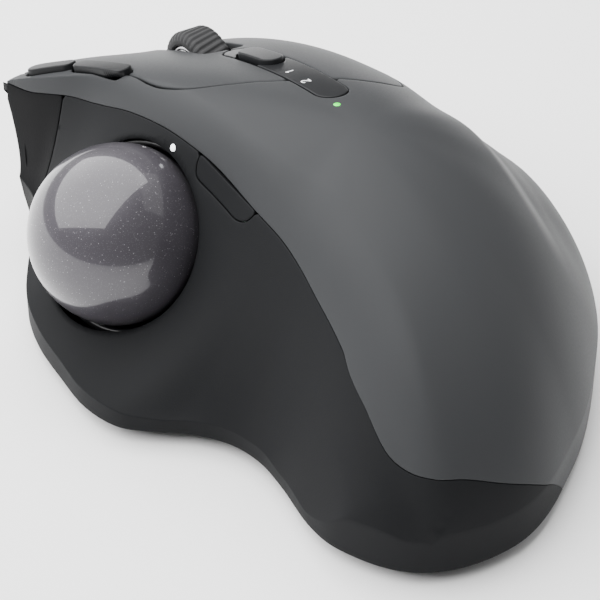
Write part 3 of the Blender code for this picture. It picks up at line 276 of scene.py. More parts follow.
def seam_height(x, y):
    """Height of the joint between shell and skirt: by station on the thumb side, by x across the tail."""
    side = hermite(y, SEAM[:, 0], SEAM[:, 1])
    ridge = hermite(y, FLANK[:, 0], FLANK[:, 1])
    left = side + (-20.0 - side) * smooth((x - ridge - 3.0) / 2.0)
    tail = hermite(x, TAIL_SEAM[:, 0], TAIL_SEAM[:, 1])
    tail = side + (tail - side) * smooth((x + 20.0) / 5.0)
    return left + (tail - left) * smooth((-36.0 - y) / 8.0)


def nose(z):
    """Station of the casing's slanted front below the pointed corner: 3 forward for every 8 up."""
    return 60.0 + 0.375 * (z - 8.0)


# ---------------------------------------------------------------- distances that cut one panel from the next
def from_stadium(p, shape, grow=0.0):
    """Plan distance outside a long oval: distance to its middle line less its half width."""
    a, b, r = np.array(shape[0]), np.array(shape[1]), shape[2] + grow
    d = b - a
    t = np.clip(((p[:, :2] - a) @ d) / (d @ d), 0.0, 1.0)
    return np.linalg.norm(p[:, :2] - a - t[:, None] * d, axis=1) - r


def inside_loop(q, loop):
    """Signed distance into a closed loop: to its nearest side, positive where a ray crosses it oddly."""
    a = loop
    b = np.roll(loop, -1, axis=0)
    d = b - a
    out = np.full(len(q), 1e9)
    odd = np.zeros(len(q), bool)
    for start, end, span in zip(a, b, d):
        t = np.clip(((q - start) @ span) / max(span @ span, 1e-12), 0.0, 1.0)
        out = np.minimum(out, np.linalg.norm(q - start - t[:, None] * span, axis=1))
        rises = (start[1] > q[:, 1]) != (end[1] > q[:, 1])
        rise = span[1] if span[1] else 1e-12
        odd ^= rises & (q[:, 0] < start[0] + span[0] * (q[:, 1] - start[1]) / rise)
    return np.where(odd, out, -out)


def above_seam(p):
    """Distance up the wall from the shell's joint: the height over it, divided by the wall's steepness."""
    step = 0.3
    gx = (height(p[:, 0] + step, p[:, 1]) - height(p[:, 0] - step, p[:, 1])) / (2 * step)
    gy = (height(p[:, 0], p[:, 1] + step) - height(p[:, 0], p[:, 1] - step)) / (2 * step)
    slope = np.hypot(gx, gy)
    steep = np.clip(slope / np.sqrt(1 + slope**2), 0.4, 1.0)
    return (p[:, 2] - seam_height(p[:, 0], p[:, 1])) / steep


def from_slot(p):
    """Plan distance outside the wheel's slot, a round-cornered box open to the front."""
    qx = np.abs(p[:, 0] - WHEEL_AT[0]) - (SLOT_HALF - 2.2)
    qy = (WHEEL_AT[1] - 9.0 + 2.2) - p[:, 1]
    out = np.hypot(np.maximum(qx, 0.0), np.maximum(qy, 0.0))
    return out + np.minimum(np.maximum(qx, qy), 0.0) - 2.2


def from_block(p, lo, hi):
    """Distance outside an upright box, by its farthest side."""
    lo = np.array(lo)
    hi = np.array(hi)
    return (np.abs(p - (lo + hi) / 2) - (hi - lo) / 2).max(axis=1)


KEY_LOOP = flowing(KEY_EDGE, 8)
PRECISION_LOOP = flowing(PRECISION, 6, closed=True)


# ---------------------------------------------------------------- surfaces
def woven(rows, columns, around_u=True, first=0):
    """Triangles of a grid of rows by columns, the columns closed on themselves where around_u is set."""
    j, i = np.meshgrid(np.arange(rows - 1), np.arange(columns if around_u else columns - 1), indexing="ij")
    m = (i + 1) % columns
    low = first + j * columns
    high = low + columns
    a, b, c, d = low + i, low + m, high + m, high + i
    return np.concatenate([np.stack([a, b, c], -1).reshape(-1, 3), np.stack([a, c, d], -1).reshape(-1, 3)])


def body_grid(inset=LIP_INSET):
    """The whole outer surface: rays from the middle by rings whose reach crowds towards the edge. On the
    thumb side and the tail more rows drop straight from the lip to the skirt's foot."""
    spans = [(0, 95, 84), (95, 113, 36), (113, 120, 84), (120, 132, 48), (132, 250, 128), (250, 360, 90)]
    th = np.radians(np.concatenate([np.linspace(a, b, n, endpoint=False) for a, b, n in spans]))
    reach = 1.0 - (1.0 - np.linspace(0.0, 1.0, 131)[1:]) ** 1.45
    ex, ey = plan(th, inset)
    x = MID[0] + np.outer(reach, ex - MID[0])
    y = MID[1] + np.outer(reach, ey - MID[1])
    deg = np.degrees(th)
    lip = height(ex, ey)
    cover = smooth((deg - 119.0) / 4.0) * (1.0 - smooth((deg - 352.0) / 8.0))
    down = np.outer(np.linspace(0.1, 1.0, SKIRT_ROWS), 0.3 + (lip - SKIRT_FOOT - 0.3) * cover)
    wide = (SKIRT_ROWS, 1)
    points = np.concatenate([np.stack([x, y, height(x, y)], -1),
                             np.stack([np.tile(ex, wide), np.tile(ey, wide), lip - down], -1)])
    points = points.reshape(-1, 3)
    n = len(th)
    middle = [[MID[0], MID[1], float(height(np.array([MID[0]]), np.array([MID[1]]))[0])]]
    i = np.arange(n)
    fan = np.stack([np.zeros(n, int), 1 + i, 1 + (i + 1) % n], -1)
    tris = np.concatenate([fan, woven(len(reach) + SKIRT_ROWS, n, first=1)[:, ::-1]])
    return np.concatenate([middle, points]), tris


def patch_grid(x0, x1, y0, y1, step, lift=0.0):
    """A square grid of a small stretch of the outer surface, raised by lift."""
    xs = np.arange(x0, x1 + step, step)
    ys = np.arange(y0, y1 + step, step)
    x, y = np.meshgrid(xs, ys, indexing="ij")
    points = np.stack([x, y, height(x, y) + lift], -1).reshape(-1, 3)
    return points, woven(len(xs), len(ys), around_u=False)[:, ::-1]


def trim(points, tris, field):
    """Cuts a surface along the field's zero line: each crossing moves its nearer vertex onto the line, and
    the triangles on the positive side stay."""
    f = field(points)
    edges = np.sort(np.concatenate([tris[:, [0, 1]], tris[:, [1, 2]], tris[:, [2, 0]]]), axis=1)
    edges = np.unique(edges, axis=0)
    edges = edges[f[edges[:, 0]] * f[edges[:, 1]] < 0]
    a, b = edges.T
    t = f[a] / (f[a] - f[b])
    near = np.where(t < 0.5, a, b)
    far = np.where(t < 0.5, b, a)
    step = (points[far] - points[near]) * np.where(t < 0.5, t, 1.0 - t)[:, None]
    order = np.argsort(-np.linalg.norm(step, axis=1))
    points = points.copy()
    f = f.copy()
    moved = np.zeros_like(points)
    moved[near[order]] = step[order]
    points += moved
    f[near] = 0.0
    keep = (f[tris] >= 0).all(axis=1)
    flat = keep & (f[tris] == 0).all(axis=1)
    keep[flat] = field(points[tris[flat]].mean(axis=1)) > 0
    tris = tris[keep]
    area = np.linalg.norm(np.cross(points[tris[:, 1]] - points[tris[:, 0]],
                                   points[tris[:, 2]] - points[tris[:, 0]]), axis=1)
    tris = tris[area > 1e-9]
    used, tris = np.unique(tris, return_inverse=True)
    return points[used], tris.reshape(-1, 3)


def normals_of(points, tris):
    """Unit normal at each vertex, from its triangles' area vectors."""
    face = np.cross(points[tris[:, 1]] - points[tris[:, 0]], points[tris[:, 2]] - points[tris[:, 0]])
    out = np.zeros_like(points)
    for k in range(3):
        np.add.at(out, tris[:, k], face)
    return out / np.maximum(np.linalg.norm(out, axis=1, keepdims=True), 1e-12)


def rim_of(tris):
    """The sides that only one triangle has, in that triangle's direction."""
    sides = np.concatenate([tris[:, [0, 1]], tris[:, [1, 2]], tris[:, [2, 0]]])
    key = np.sort(sides, axis=1)
    _, index, count = np.unique(key, axis=0, return_index=True, return_counts=True)
    return sides[index[count == 1]]


def walled(points, tris, edge, depth):
    """Closes a cut surface: a quarter round of radius edge and a wall down to depth are carried along its
    rim, and the same surface, moved in by depth, closes the back."""
    normal = normals_of(points, tris)
    rim = rim_of(tris)
    ids = np.unique(rim)
    run = np.zeros_like(points)
    for k in range(2):
        np.add.at(run, rim[:, k], points[rim[:, 1]] - points[rim[:, 0]])
    out = np.cross(run[ids], normal[ids])
    out /= np.maximum(np.linalg.norm(out, axis=1, keepdims=True), 1e-9)
    turn = np.linspace(0.0, pi / 2, 5)[1:]
    section = [(edge * sin(a), edge * (1.0 - cos(a))) for a in turn]
    section.append((edge, depth * 0.5))
    rows = [points[ids] + out * along - normal[ids] * down for along, down in section]
    back = points - normal * depth
    back[ids] = points[ids] + out * edge - normal[ids] * depth
    n = len(points)
    m = len(ids)
    where = np.full(n, -1)
    where[ids] = np.arange(m)
    base = n + len(rows) * m
    steps = [ids] + [n + k * m + np.arange(m) for k in range(len(rows))] + [base + ids]
    a, b = where[rim[:, 0]], where[rim[:, 1]]
    sides = []
    for upper, lower in zip(steps[:-1], steps[1:]):
        sides.append(np.stack([upper[b], upper[a], lower[a]], -1))
        sides.append(np.stack([upper[b], lower[a], lower[b]], -1))
    return np.concatenate([points] + rows + [back]), np.concatenate([tris] + sides + [base + tris[:, ::-1]])


def frame_on(axis):
    """Two unit directions square to an axis, and the axis."""
    w = np.asarray(axis, float) / np.linalg.norm(axis)
    side = np.array([0.0, 0.0, 1.0]) if abs(w[2]) < 0.9 else np.array([1.0, 0.0, 0.0])
    u = np.cross(w, side)
    u /= np.linalg.norm(u)
    return u, np.cross(w, u), w


def turned(at, axis, profile, steps, closed=False):
    """A profile of (distance along the axis, radius) turned about it: point = centre + axis * distance + the
    circle's direction * radius. An open profile starts and ends on the axis."""
    u, v, w = frame_on(axis)
    a = np.linspace(0.0, TAU, steps, endpoint=False)
    ring = np.outer(np.cos(a), u) + np.outer(np.sin(a), v)
    p = np.asarray(profile, float)
    if closed:
        p = np.vstack([p, p[:1]])
        points = np.asarray(at) + p[:-1, 0, None, None] * w + ring[None] * p[:-1, 1, None, None]
        tris = woven(len(p), steps)
        count = (len(p) - 1) * steps
        return points.reshape(-1, 3), np.where(tris >= count, tris - count, tris)
    body = p[1:-1]
    points = np.asarray(at) + body[:, 0, None, None] * w + ring[None] * body[:, 1, None, None]
    points = points.reshape(-1, 3)
    ends = np.asarray(at) + np.array([p[0, 0], p[-1, 0]])[:, None] * w
    n = len(points)
    i = np.arange(steps)
    m = (i + 1) % steps
    last = n - steps
    fans = [np.stack([np.full(steps, n), m, i], -1),
            np.stack([np.full(steps, n + 1), last + i, last + m], -1)]
    return np.concatenate([points, ends]), np.concatenate([woven(len(body), steps)] + fans)


def rounded(points, r, steps=5):
    """A closed profile with each corner drawn as a quadratic curve that starts and ends r away from it."""
    p = np.asarray(points, float)
    before = np.roll(p, 1, axis=0) - p
    after = np.roll(p, -1, axis=0) - p
    lb = np.linalg.norm(before, axis=1, keepdims=True)
    la = np.linalg.norm(after, axis=1, keepdims=True)
    reach = np.minimum(r, 0.45 * np.minimum(la, lb))
    s = p + before / lb * reach
    e = p + after / la * reach
    t = np.linspace(0.0, 1.0, steps)[None, :, None]
    curve = (1 - t) ** 2 * s[:, None] + 2 * t * (1 - t) * p[:, None] + t**2 * e[:, None]
    return curve.reshape(-1, 2)


def ribbon(path, width, thick):
    """A flat band on the outer surface: its section, a low box, is carried along a plan path."""
    p = np.asarray(path, float)
    run = np.gradient(p, axis=0)
    run /= np.linalg.norm(run, axis=1, keepdims=True)
    across = np.stack([-run[:, 1], run[:, 0]], -1) * width / 2
    left, up = on_top(*(p + across).T)
    right, _ = on_top(*(p - across).T)
    rows = np.stack([left - up * 0.1, left + up * thick, right + up * thick, right - up * 0.1], 1)
    n = len(p)
    e = 4 * n - 4
    caps = np.array([[0, 1, 2], [0, 2, 3], [e, e + 2, e + 1], [e, e + 3, e + 2]])
    return rows.reshape(-1, 3), np.concatenate([woven(n, 4), caps])


def solid(name, points, tris, body, nodes, slot, look=None):
    """Puts the arrays into a mesh with its faces outward, ties it to its body and hides the CAD nodes it
    stands in for. Its finish is the slot's, or the one that look names."""
    p = (points + SHIFT) * MM
    if np.einsum("ij,ij->i", p[tris[:, 0]], np.cross(p[tris[:, 1]], p[tris[:, 2]])).sum() < 0:
        tris = tris[:, ::-1]
    mesh = bpy.data.meshes.new(name)
    mesh.vertices.add(len(p))
    mesh.vertices.foreach_set("co", p.astype(np.float32).ravel())
    mesh.loops.add(tris.size)
    mesh.loops.foreach_set("vertex_index", tris.astype(np.int32).ravel())
    mesh.polygons.add(len(tris))
    mesh.polygons.foreach_set("loop_start", np.arange(0, tris.size, 3, dtype=np.int32))
    mesh.polygons.foreach_set("use_smooth", np.ones(len(tris), bool))
    mesh.update(calc_edges=True)
    mesh.validate()
    mesh.materials.append(FINISHES[look or slot])
    obj = bpy.data.objects.new(name, mesh)
    bpy.context.scene.collection.objects.link(obj)
    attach(obj, body)
    if nodes:
        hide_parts(*nodes)
    return obj


def panel(name, grid, field, body, nodes, slot, edge, depth=1.3, shape=None, look=None):
    """One share of the outer surface: cut along its field, rolled at the edge and closed behind."""
    points, tris = trim(*grid, lambda p: field(p) - edge)
    if shape is not None:
        points = shape(points)
    return solid(name, *walled(points, tris, edge, depth), body, nodes, slot, look)


# ---------------------------------------------------------------- finishes
class Wire:
    """A shader socket that takes part in Python expressions; each operation adds its Math node."""

    def __init__(self, socket):
        self.socket = socket
        self.tree = socket.id_data

    def node(self, kind, settings=None, values=None, out=0):
        made = self.tree.nodes.new(kind)
        for key, value in (settings or {}).items():
            setattr(made, key, value)
        for key, value in (values or {}).items():
            if isinstance(value, Wire):
                self.tree.links.new(value.socket, made.inputs[key])
            else:
                made.inputs[key].default_value = value
        return Wire(made.outputs[out])

    def math(self, kind, first, second):
        return self.node("ShaderNodeMath", {"operation": kind}, {0: first, 1: second})

    def __add__(self, other):
        return self.math("ADD", self, other)

    def __rsub__(self, other):
        return self.math("SUBTRACT", other, self)

    def __mul__(self, other):
        return self.math("MULTIPLY", self, other)

    def __gt__(self, other):
        return self.math("GREATER_THAN", self, other)

    def noise(self, scale, detail=2.0, rough=0.5):
        return self.node("ShaderNodeTexNoise", None, {"Vector": self, "Scale": scale, "Detail": detail,
                                                      "Roughness": rough})

    def blend(self, mask, one, two):
        return self.node("ShaderNodeMix", {"data_type": "RGBA"}, {0: mask, 6: (*one, 1.0), 7: (*two, 1.0)}, 2)


def finish(name, colour, rough, metal=0.0, coat=0.0, shine=0.5, glow=None):
    """A new material and its shader node, with what is the same all over set on the shader."""
    mat = bpy.data.materials.new(name)
    mat.use_nodes = True
    shader = mat.node_tree.nodes["Principled BSDF"]
    shader.inputs["Base Color"].default_value = (*colour, 1.0)
    shader.inputs["Roughness"].default_value = rough
    shader.inputs["Metallic"].default_value = metal
    shader.inputs["Coat Weight"].default_value = coat
    shader.inputs["Coat Roughness"].default_value = 0.04
    shader.inputs["Specular IOR Level"].default_value = shine
    if glow:
        shader.inputs["Emission Color"].default_value = (*colour, 1.0)
        shader.inputs["Emission Strength"].default_value = glow
    place = mat.node_tree.nodes.new("ShaderNodeTexCoord")
    return mat, shader, Wire(place.outputs["Object"])


def feed(shader, **wires):
    for key, wire in wires.items():
        shader.id_data.links.new(wire.socket, shader.inputs[key.replace("_", " ")])


def moulded(name, colour, rough, grain, relief, spread=0.06, shine=0.5):
    """Moulded plastic or soft-touch skin: a fine grain in relief, a little uneven gloss, faint clouding."""
    mat, shader, place = finish(name, colour, rough, shine=shine)
    cloud = place.noise(38.0, 3.0)
    fine = place.noise(grain, 3.0, 0.6)
    low = tuple(c * (1 - spread) for c in colour)
    high = tuple(c * (1 + spread) for c in colour)
    tint = cloud * 0.7 + fine * 0.3
    bump = place.node("ShaderNodeBump", None, {"Strength": relief, "Distance": 0.00012, "Height": fine})
    feed(shader, Base_Color=place.blend(tint, low, high),
         Roughness=fine * 0.14 + cloud * 0.08 + (rough - 0.11), Normal=bump)
    return mat


def brushed(name, colour, rough, stretch=(1.0, 1.0, 1.0), metal=1.0):
    """Turned or brushed metal: a noise drawn out along one direction sets the gloss and a faint relief."""
    mat, shader, place = finish(name, colour, rough, metal)
    drawn = place.node("ShaderNodeMapping", None, {"Vector": place, "Scale": stretch})
    lines = drawn.noise(900.0, 3.0, 0.6)
    bump = place.node("ShaderNodeBump", None, {"Strength": 0.08, "Distance": 0.0001, "Height": lines})
    low = tuple(c * 0.9 for c in colour)
    high = tuple(min(1, c * 1.08) for c in colour)
    feed(shader, Base_Color=place.blend(lines, low, high), Roughness=lines * 0.16 + (rough - 0.08),
         Normal=bump)
    return mat


def mineral(name, colour, sparkle):
    """The ball: a smoky pearl resin with fine bright flecks of several sizes under a clear coat."""
    mat, shader, place = finish(name, colour, 0.3, 0.2, 0.75, 0.15)
    cloud = place.noise(120.0, 4.0)
    cells = place.node("ShaderNodeTexVoronoi", None, {"Vector": place, "Scale": 3600.0}, "Color")
    part = place.node("ShaderNodeSeparateColor", None, {"Color": cells})
    near = place.node("ShaderNodeTexVoronoi", None, {"Vector": place, "Scale": 3600.0}, "Distance")
    fleck = (part > 0.93) * (0.3 - near > 0.0)
    dust = place.noise(5200.0, 1.0) > 0.66
    base = place.blend(cloud, tuple(c * 0.85 for c in colour), tuple(c * 1.2 for c in colour))
    mask = fleck * 0.2 + dust * 0.05
    mixed = place.node("ShaderNodeMix", {"data_type": "RGBA"}, {0: mask, 6: base, 7: (*sparkle, 1.0)}, 2)
    feed(shader, Base_Color=mixed, Roughness=cloud * 0.06 + 0.3)
    return mat


def all_finishes(look):
    """Every finish by the record's slot name, and the one for the numerals."""
    shell = tuple(look.shell_colour)
    thumb = tuple(look.thumb_colour)
    return {
        "shell_satin": moulded("satin_graphite", shell, 0.45, 2600.0, 0.10, 0.06, 0.07),
        "thumb_rubber": moulded("soft_touch_charcoal", thumb, 0.6, 3200.0, 0.22, 0.1, 0.07),
        "casing_matte": moulded("matt_near_black", (0.0025, 0.0026, 0.003), 0.5, 2400.0, 0.25, 0.1, 0.05),
        "strip_satin": moulded("satin_dark_strip", (0.011, 0.0115, 0.0125), 0.34, 3000.0, 0.06, 0.06, 0.12),
        "side_key": moulded("satin_dark_key", (0.009, 0.0094, 0.0102), 0.4, 2600.0, 0.10, 0.06, 0.14),
        "ball_gloss": mineral("smoky_mineral", tuple(look.ball_colour), (0.9, 0.88, 0.92)),
        "cup_gloss": moulded("smooth_black_cup", (0.01, 0.01, 0.011), 0.3, 2000.0, 0.05),
        "tyre_rubber": moulded("matt_grey_rubber", (0.03, 0.03, 0.031), 0.6, 2600.0, 0.25, 0.12, 0.12),
        "rim_polished": brushed("polished_rim", (0.4, 0.4, 0.41), 0.22),
        "steel": brushed("turned_steel", (0.55, 0.55, 0.56), 0.32),
        "magnet": brushed("plated_magnet", (0.6, 0.6, 0.61), 0.25),
        "socket_metal": brushed("pressed_socket", (0.5, 0.5, 0.51), 0.35, (1.0, 1.0, 6.0)),
        "battery_wrap": brushed("foil_wrap", (0.58, 0.6, 0.62), 0.4, (1.0, 8.0, 1.0)),
        "plate_metal": moulded("dark_powder_coat", (0.02, 0.02, 0.022), 0.55, 1500.0, 0.5, 0.15),
        "pad_rubber": moulded("matt_pad_rubber", (0.02, 0.02, 0.021), 0.8, 1800.0, 0.5, 0.12),
        "stud": moulded("polished_ceramic", (0.82, 0.8, 0.76), 0.15, 900.0, 0.02, 0.02),
        "lens": moulded("clear_lens", (0.7, 0.72, 0.74), 0.1, 900.0, 0.02, 0.02),
        "inner_black": moulded("moulded_black", (0.02, 0.02, 0.021), 0.5, 2000.0, 0.2, 0.1),
        "board_green": moulded("lacquered_board", (0.015, 0.09, 0.04), 0.35, 700.0, 0.1, 0.2),
        "slider_plastic": moulded("matt_green_slider", (0.1, 0.45, 0.2), 0.5, 2000.0, 0.15, 0.08),
        "light_white": finish("lit_white", (0.95, 0.97, 1.0), 0.3, glow=2.5)[0],
        "light_green": finish("lit_green", (0.0, 0.62, 0.02), 0.3, glow=1.6)[0],
        "mark": finish("pale_mark", (0.85, 0.86, 0.87), 0.5)[0],
    }


FINISHES = {}


# ---------------------------------------------------------------- settings
class MouseLook(bpy.types.PropertyGroup):
    """Sizes and colours that a user would change."""
    shell_colour: bpy.props.FloatVectorProperty(
        name="Shell colour", description="Colour of the palm shell and main buttons", subtype="COLOR", size=3,
        min=0.0, max=1.0, default=(0.034, 0.0352, 0.037))
    thumb_colour: bpy.props.FloatVectorProperty(
        name="Thumb panel colour", description="Colour of the soft-touch thumb side and tail skirt",
        subtype="COLOR", size=3, min=0.0, max=1.0, default=(0.0092, 0.0096, 0.0104))
    ball_colour: bpy.props.FloatVectorProperty(
        name="Ball colour", description="Body colour of the ball under its flecks", subtype="COLOR", size=3,
        min=0.0, max=1.0, default=(0.052, 0.048, 0.056))
    joint_gap: bpy.props.FloatProperty(
        name="Joint gap", description="Width of the gap between two panels, in millimetres", min=0.1, max=0.6,
        default=0.3)
    edge_round: bpy.props.FloatProperty(
        name="Edge radius", description="Radius of the main buttons' rolled edges, in millimetres", min=0.1,
        max=0.6, default=0.3)
    rib_count: bpy.props.IntProperty(
        name="Wheel ribs", description="Ribs round the scroll wheel's tyre", min=12, max=80, default=44)
    rib_depth: bpy.props.FloatProperty(
        name="Rib depth", description="Depth of the grooves between the wheel's ribs, in millimetres",
        min=0.0, max=0.6, default=0.34)


class MOUSE_OT_stage(bpy.types.Operator):
    """Sets up the floor, the lights and the camera"""
    bl_idname = "mouse.stage"
    bl_label = "Stage"

    def execute(self, context):
        n = 40
        u = np.linspace(-1.5, 1.5, n)
        x, y = np.meshgrid(u, u, indexing="ij")
        points = np.stack([x, y, np.full_like(x, -0.00005)], -1).reshape(-1, 3)
        mesh = bpy.data.meshes.new("floor")
        mesh.from_pydata(points.tolist(), [], woven(n, n, around_u=False)[:, ::-1].tolist())
        mat, _, _ = finish("pale_floor", (0.97, 0.97, 0.97), 0.7)
        mesh.materials.append(mat)
        floor = bpy.data.objects.new("floor", mesh)
        context.scene.collection.objects.link(floor)
        world = bpy.data.worlds.new("studio")
        world.use_nodes = True
        world.node_tree.nodes["Background"].inputs["Color"].default_value = (1.0, 1.0, 1.0, 1.0)
        world.node_tree.nodes["Background"].inputs["Strength"].default_value = 0.3
        context.scene.world = world
        self.lamp(context, "right_box", (0.95, -0.15, 0.75), (0.0, 0.0, 0.0), 1.2, 1.2, 4.0)
        self.lamp(context, "top_panel", (-0.29, 0.32, 0.59), (-0.16, 0.07, -0.05), 1.5, 1.3, 38.0)
        camera = bpy.data.cameras.new("camera")
        camera.sensor_width = 36.0
        camera.lens = 146.1
        camera.clip_start = 0.01
        obj = bpy.data.objects.new("camera", camera)
        right = Vector((0.8660, -0.5, 0.0))
        up = Vector((0.3214, 0.5567, 0.7660))
        back = Vector((-0.3830, -0.6634, 0.6428))
        at = (Vector((-179.2, -301.0, 303.9)) + Vector(SHIFT)) * MM
        turn = Matrix((right, up, back)).transposed()
        obj.matrix_world = Matrix.Translation(at) @ turn.to_4x4()
        context.scene.collection.objects.link(obj)
        context.scene.camera = obj
        return {"FINISHED"}

    @staticmethod
    def lamp(context, name, at, aim, wide, tall, power):
        data = bpy.data.lights.new(name, "AREA")
        data.shape = "RECTANGLE"
        data.size = wide
        data.size_y = tall
        data.energy = power
        obj = bpy.data.objects.new(name, data)
        obj.location = at
        obj.rotation_euler = (Vector(aim) - Vector(at)).to_track_quat("-Z", "Y").to_euler()
        context.scene.collection.objects.link(obj)


class MOUSE_OT_finishes(bpy.types.Operator):
    """Makes every finish and gives the CAD pieces theirs"""
    bl_idname = "mouse.finishes"
    bl_label = "Finishes"

    def execute(self, context):
        FINISHES.update(all_finishes(context.scene.mouse_look))
        for entry in frame["record"]["subparts"]:
            mesh = frame["nodes"][entry["node"]].data
            mesh.materials.clear()
            mesh.materials.append(FINISHES[entry["material_slot"]])
        return {"FINISHED"}


class MOUSE_OT_shell(bpy.types.Operator):
    """Builds the palm shell, the thumb panel and the recessed cheek"""
    bl_idname = "mouse.shell"
    bl_label = "Shell panels"

    def execute(self, context):
        half = context.scene.mouse_look.joint_gap / 2
        thin = half * 0.4
        grid = body_grid()

        def shell(p):
            return np.minimum.reduce([
                -inside_loop(p[:, :2], KEY_LOOP) - half, above_seam(p) - thin,
                from_stadium(p, STRIP, 2 * half), from_stadium(p, BACK_KEY, 2 * half),
                from_stadium(p, FORWARD_KEY, 2 * half)])

        def from_ball(p):
            return np.linalg.norm(p - BALL_AT, axis=1) - BALL_R - BALL_ROOM

        def thumb(p):
            key = inside_loop(p[:, 1:], PRECISION_LOOP)
            key = np.where(p[:, 0] > -9.0, -9.0, key)
            return np.minimum.reduce([-above_seam(p) - thin, CHEEK_Y - thin - p[:, 1], from_ball(p),
                                      -key - half * 0.6])

        def roll(p):
            reach = np.clip(1.0 - (from_ball(p) - 0.2) / 1.2, 0.0, 1.0)
            drop = 0.5 * (1.0 - np.sqrt(np.clip(1.0 - reach**2, 0.0, 1.0)))
            _, normal = on_top(p[:, 0], p[:, 1])
            return p - normal * drop[:, None]

        def cheek(p):
            return np.minimum.reduce([-above_seam(p) - thin, p[:, 1] - CHEEK_Y - thin,
                                      nose(p[:, 2]) + 1.0 - p[:, 1]])

        def key(p):
            return np.where(p[:, 0] > -9.0, -9.0, inside_loop(p[:, 1:], PRECISION_LOOP) - half * 0.6)

        panel("palm_shell", grid, shell, "body", ["top_shell"], "shell_satin", 0.22)
        panel("thumb_skin", grid, thumb, "body", ["thumb_panel"], "thumb_rubber", FINE_EDGE, shape=roll)
        panel("cheek_skin", grid, cheek, "body", ["cheek_panel"], "casing_matte", FINE_EDGE)
        xs = patch_grid(-21.0, -12.0, -6.5, 15.5, 0.16)
        panel("precision_key_cap", xs, key, "precision_key", ["precision_button"], "side_key", 0.22, 1.2,
              look="thumb_rubber")
        return {"FINISHED"}


class MOUSE_OT_keys(bpy.types.Operator):
    """Builds the two main buttons, the strip with its switch and marks, and the two side keys"""
    bl_idname = "mouse.keys"
    bl_label = "Buttons and strip"

    def execute(self, context):
        look = context.scene.mouse_look
        half = look.joint_gap / 2
        edge = look.edge_round
        grid = body_grid()

        def both(p):
            return [inside_loop(p[:, :2], KEY_LOOP) - half, from_stadium(p, STRIP, 2 * half), from_slot(p),
                    from_stadium(p, BACK_KEY, 2 * half), from_stadium(p, FORWARD_KEY, 2 * half)]

        def left(p):
            return np.minimum.reduce(both(p) + [SPLIT_X - half - p[:, 0]])

        def right(p):
            side = inside_loop(p[:, :2], KEY_LOOP) - half - 0.2 * smooth((p[:, 1] - 14.0) / 10.0)
            return np.minimum.reduce(both(p) + [side, p[:, 0] - SPLIT_X - half])

        panel("left_key_skin", grid, left, "left_key", ["left_button"], "shell_satin", edge)
        panel("right_key_skin", grid, right, "right_key", ["right_button"], "shell_satin", edge)

        def strip(p):
            return np.minimum(-from_stadium(p, STRIP), from_stadium(p, SWITCH, 2 * half + 0.1))

        patch = patch_grid(0.5, 11.5, 6.0, 45.0, 0.22)
        panel("strip_inlay", patch, strip, "body", ["centre_strip"], "strip_satin", FINE_EDGE)
        for name, shape, lift, body, node, slot, box in (
                ("switch_cap", SWITCH, 1.0, "device_key", "device_button", "strip_satin",
                 (2.0, 9.5, 26.5, 41.5)),
                ("back_key_cap", BACK_KEY, 1.3, "back_key", "back_button", "side_key",
                 (-25.5, -16.5, 41.0, 57.0)),
                ("forward_key_cap", FORWARD_KEY, 1.3, "forward_key", "forward_button", "side_key",
                 (-30.5, -20.5, 55.5, 67.0))):
            panel(name, patch_grid(*box, 0.16, lift), lambda p, s=shape: -from_stadium(p, s), body, [node],
                  slot, 0.3, 2.2)
        one = [(-0.42, 0.36), (0.0, 0.72), (0.0, 0.3), (0.0, -0.3), (0.0, -0.78)]
        self.mark("mark_one", one, (5.2, 22.3))
        self.mark("mark_two", [(-0.5, 0.42), (-0.3, 0.7), (0.05, 0.8), (0.4, 0.62), (0.46, 0.3), (0.2, -0.1),
                               (-0.2, -0.48), (-0.52, -0.78), (0.0, -0.79), (0.58, -0.8)], (5.1, 16.1))
        return {"FINISHED"}

    @staticmethod
    def mark(name, strokes, at):
        """A numeral whose top points to the left: its right is +Y and its up is -X."""
        q = flowing(strokes, 6)
        path = np.stack([at[0] - q[:, 1], at[1] + q[:, 0]], -1)
        solid(name, *ribbon(path, 0.25, 0.03), "body", [], "light_white", "mark")


class MOUSE_OT_ball(bpy.types.Operator):
    """Builds the ball, the cup that holds it and the two small lights"""
    bl_idname = "mouse.ball"
    bl_label = "Ball and lights"

    def execute(self, context):
        a = np.linspace(-pi / 2, pi / 2, 65)
        profile = np.stack([BALL_R * np.sin(a), BALL_R * np.cos(a)], -1)
        solid("ball_resin", *turned(BALL_AT, BALL_OUT, profile, 128), "ball_body", ["ball"], "ball_gloss")
        a = np.linspace(-0.16, -1.36, 25)
        inner = BALL_R + 0.6
        section = np.concatenate([np.stack([inner * np.sin(a), inner * np.cos(a)], -1),
                                  np.stack([(inner + 1.2) * np.sin(a), (inner + 1.2) * np.cos(a)], -1)[::-1]])
        bowl = turned(BALL_AT, BALL_OUT, section, 96, closed=True)
        solid("ball_cup_bowl", *bowl, "body", ["ball_cup"], "cup_gloss")
        lens = [(-1.8, 0.0), (-1.8, 0.72), (-0.05, 0.72), (0.03, 0.6), (0.08, 0.35), (0.1, 0.0)]
        for name, (point, normal), node, slot in (
                ("power_lens", wall_point(20.4, 40.0), "power_light", "light_white"),
                ("battery_lens", on_top(4.9, 4.6), "battery_light", "light_green")):
            solid(name, *turned(point[0], normal[0], lens, 24), "body", [node], slot)
        return {"FINISHED"}


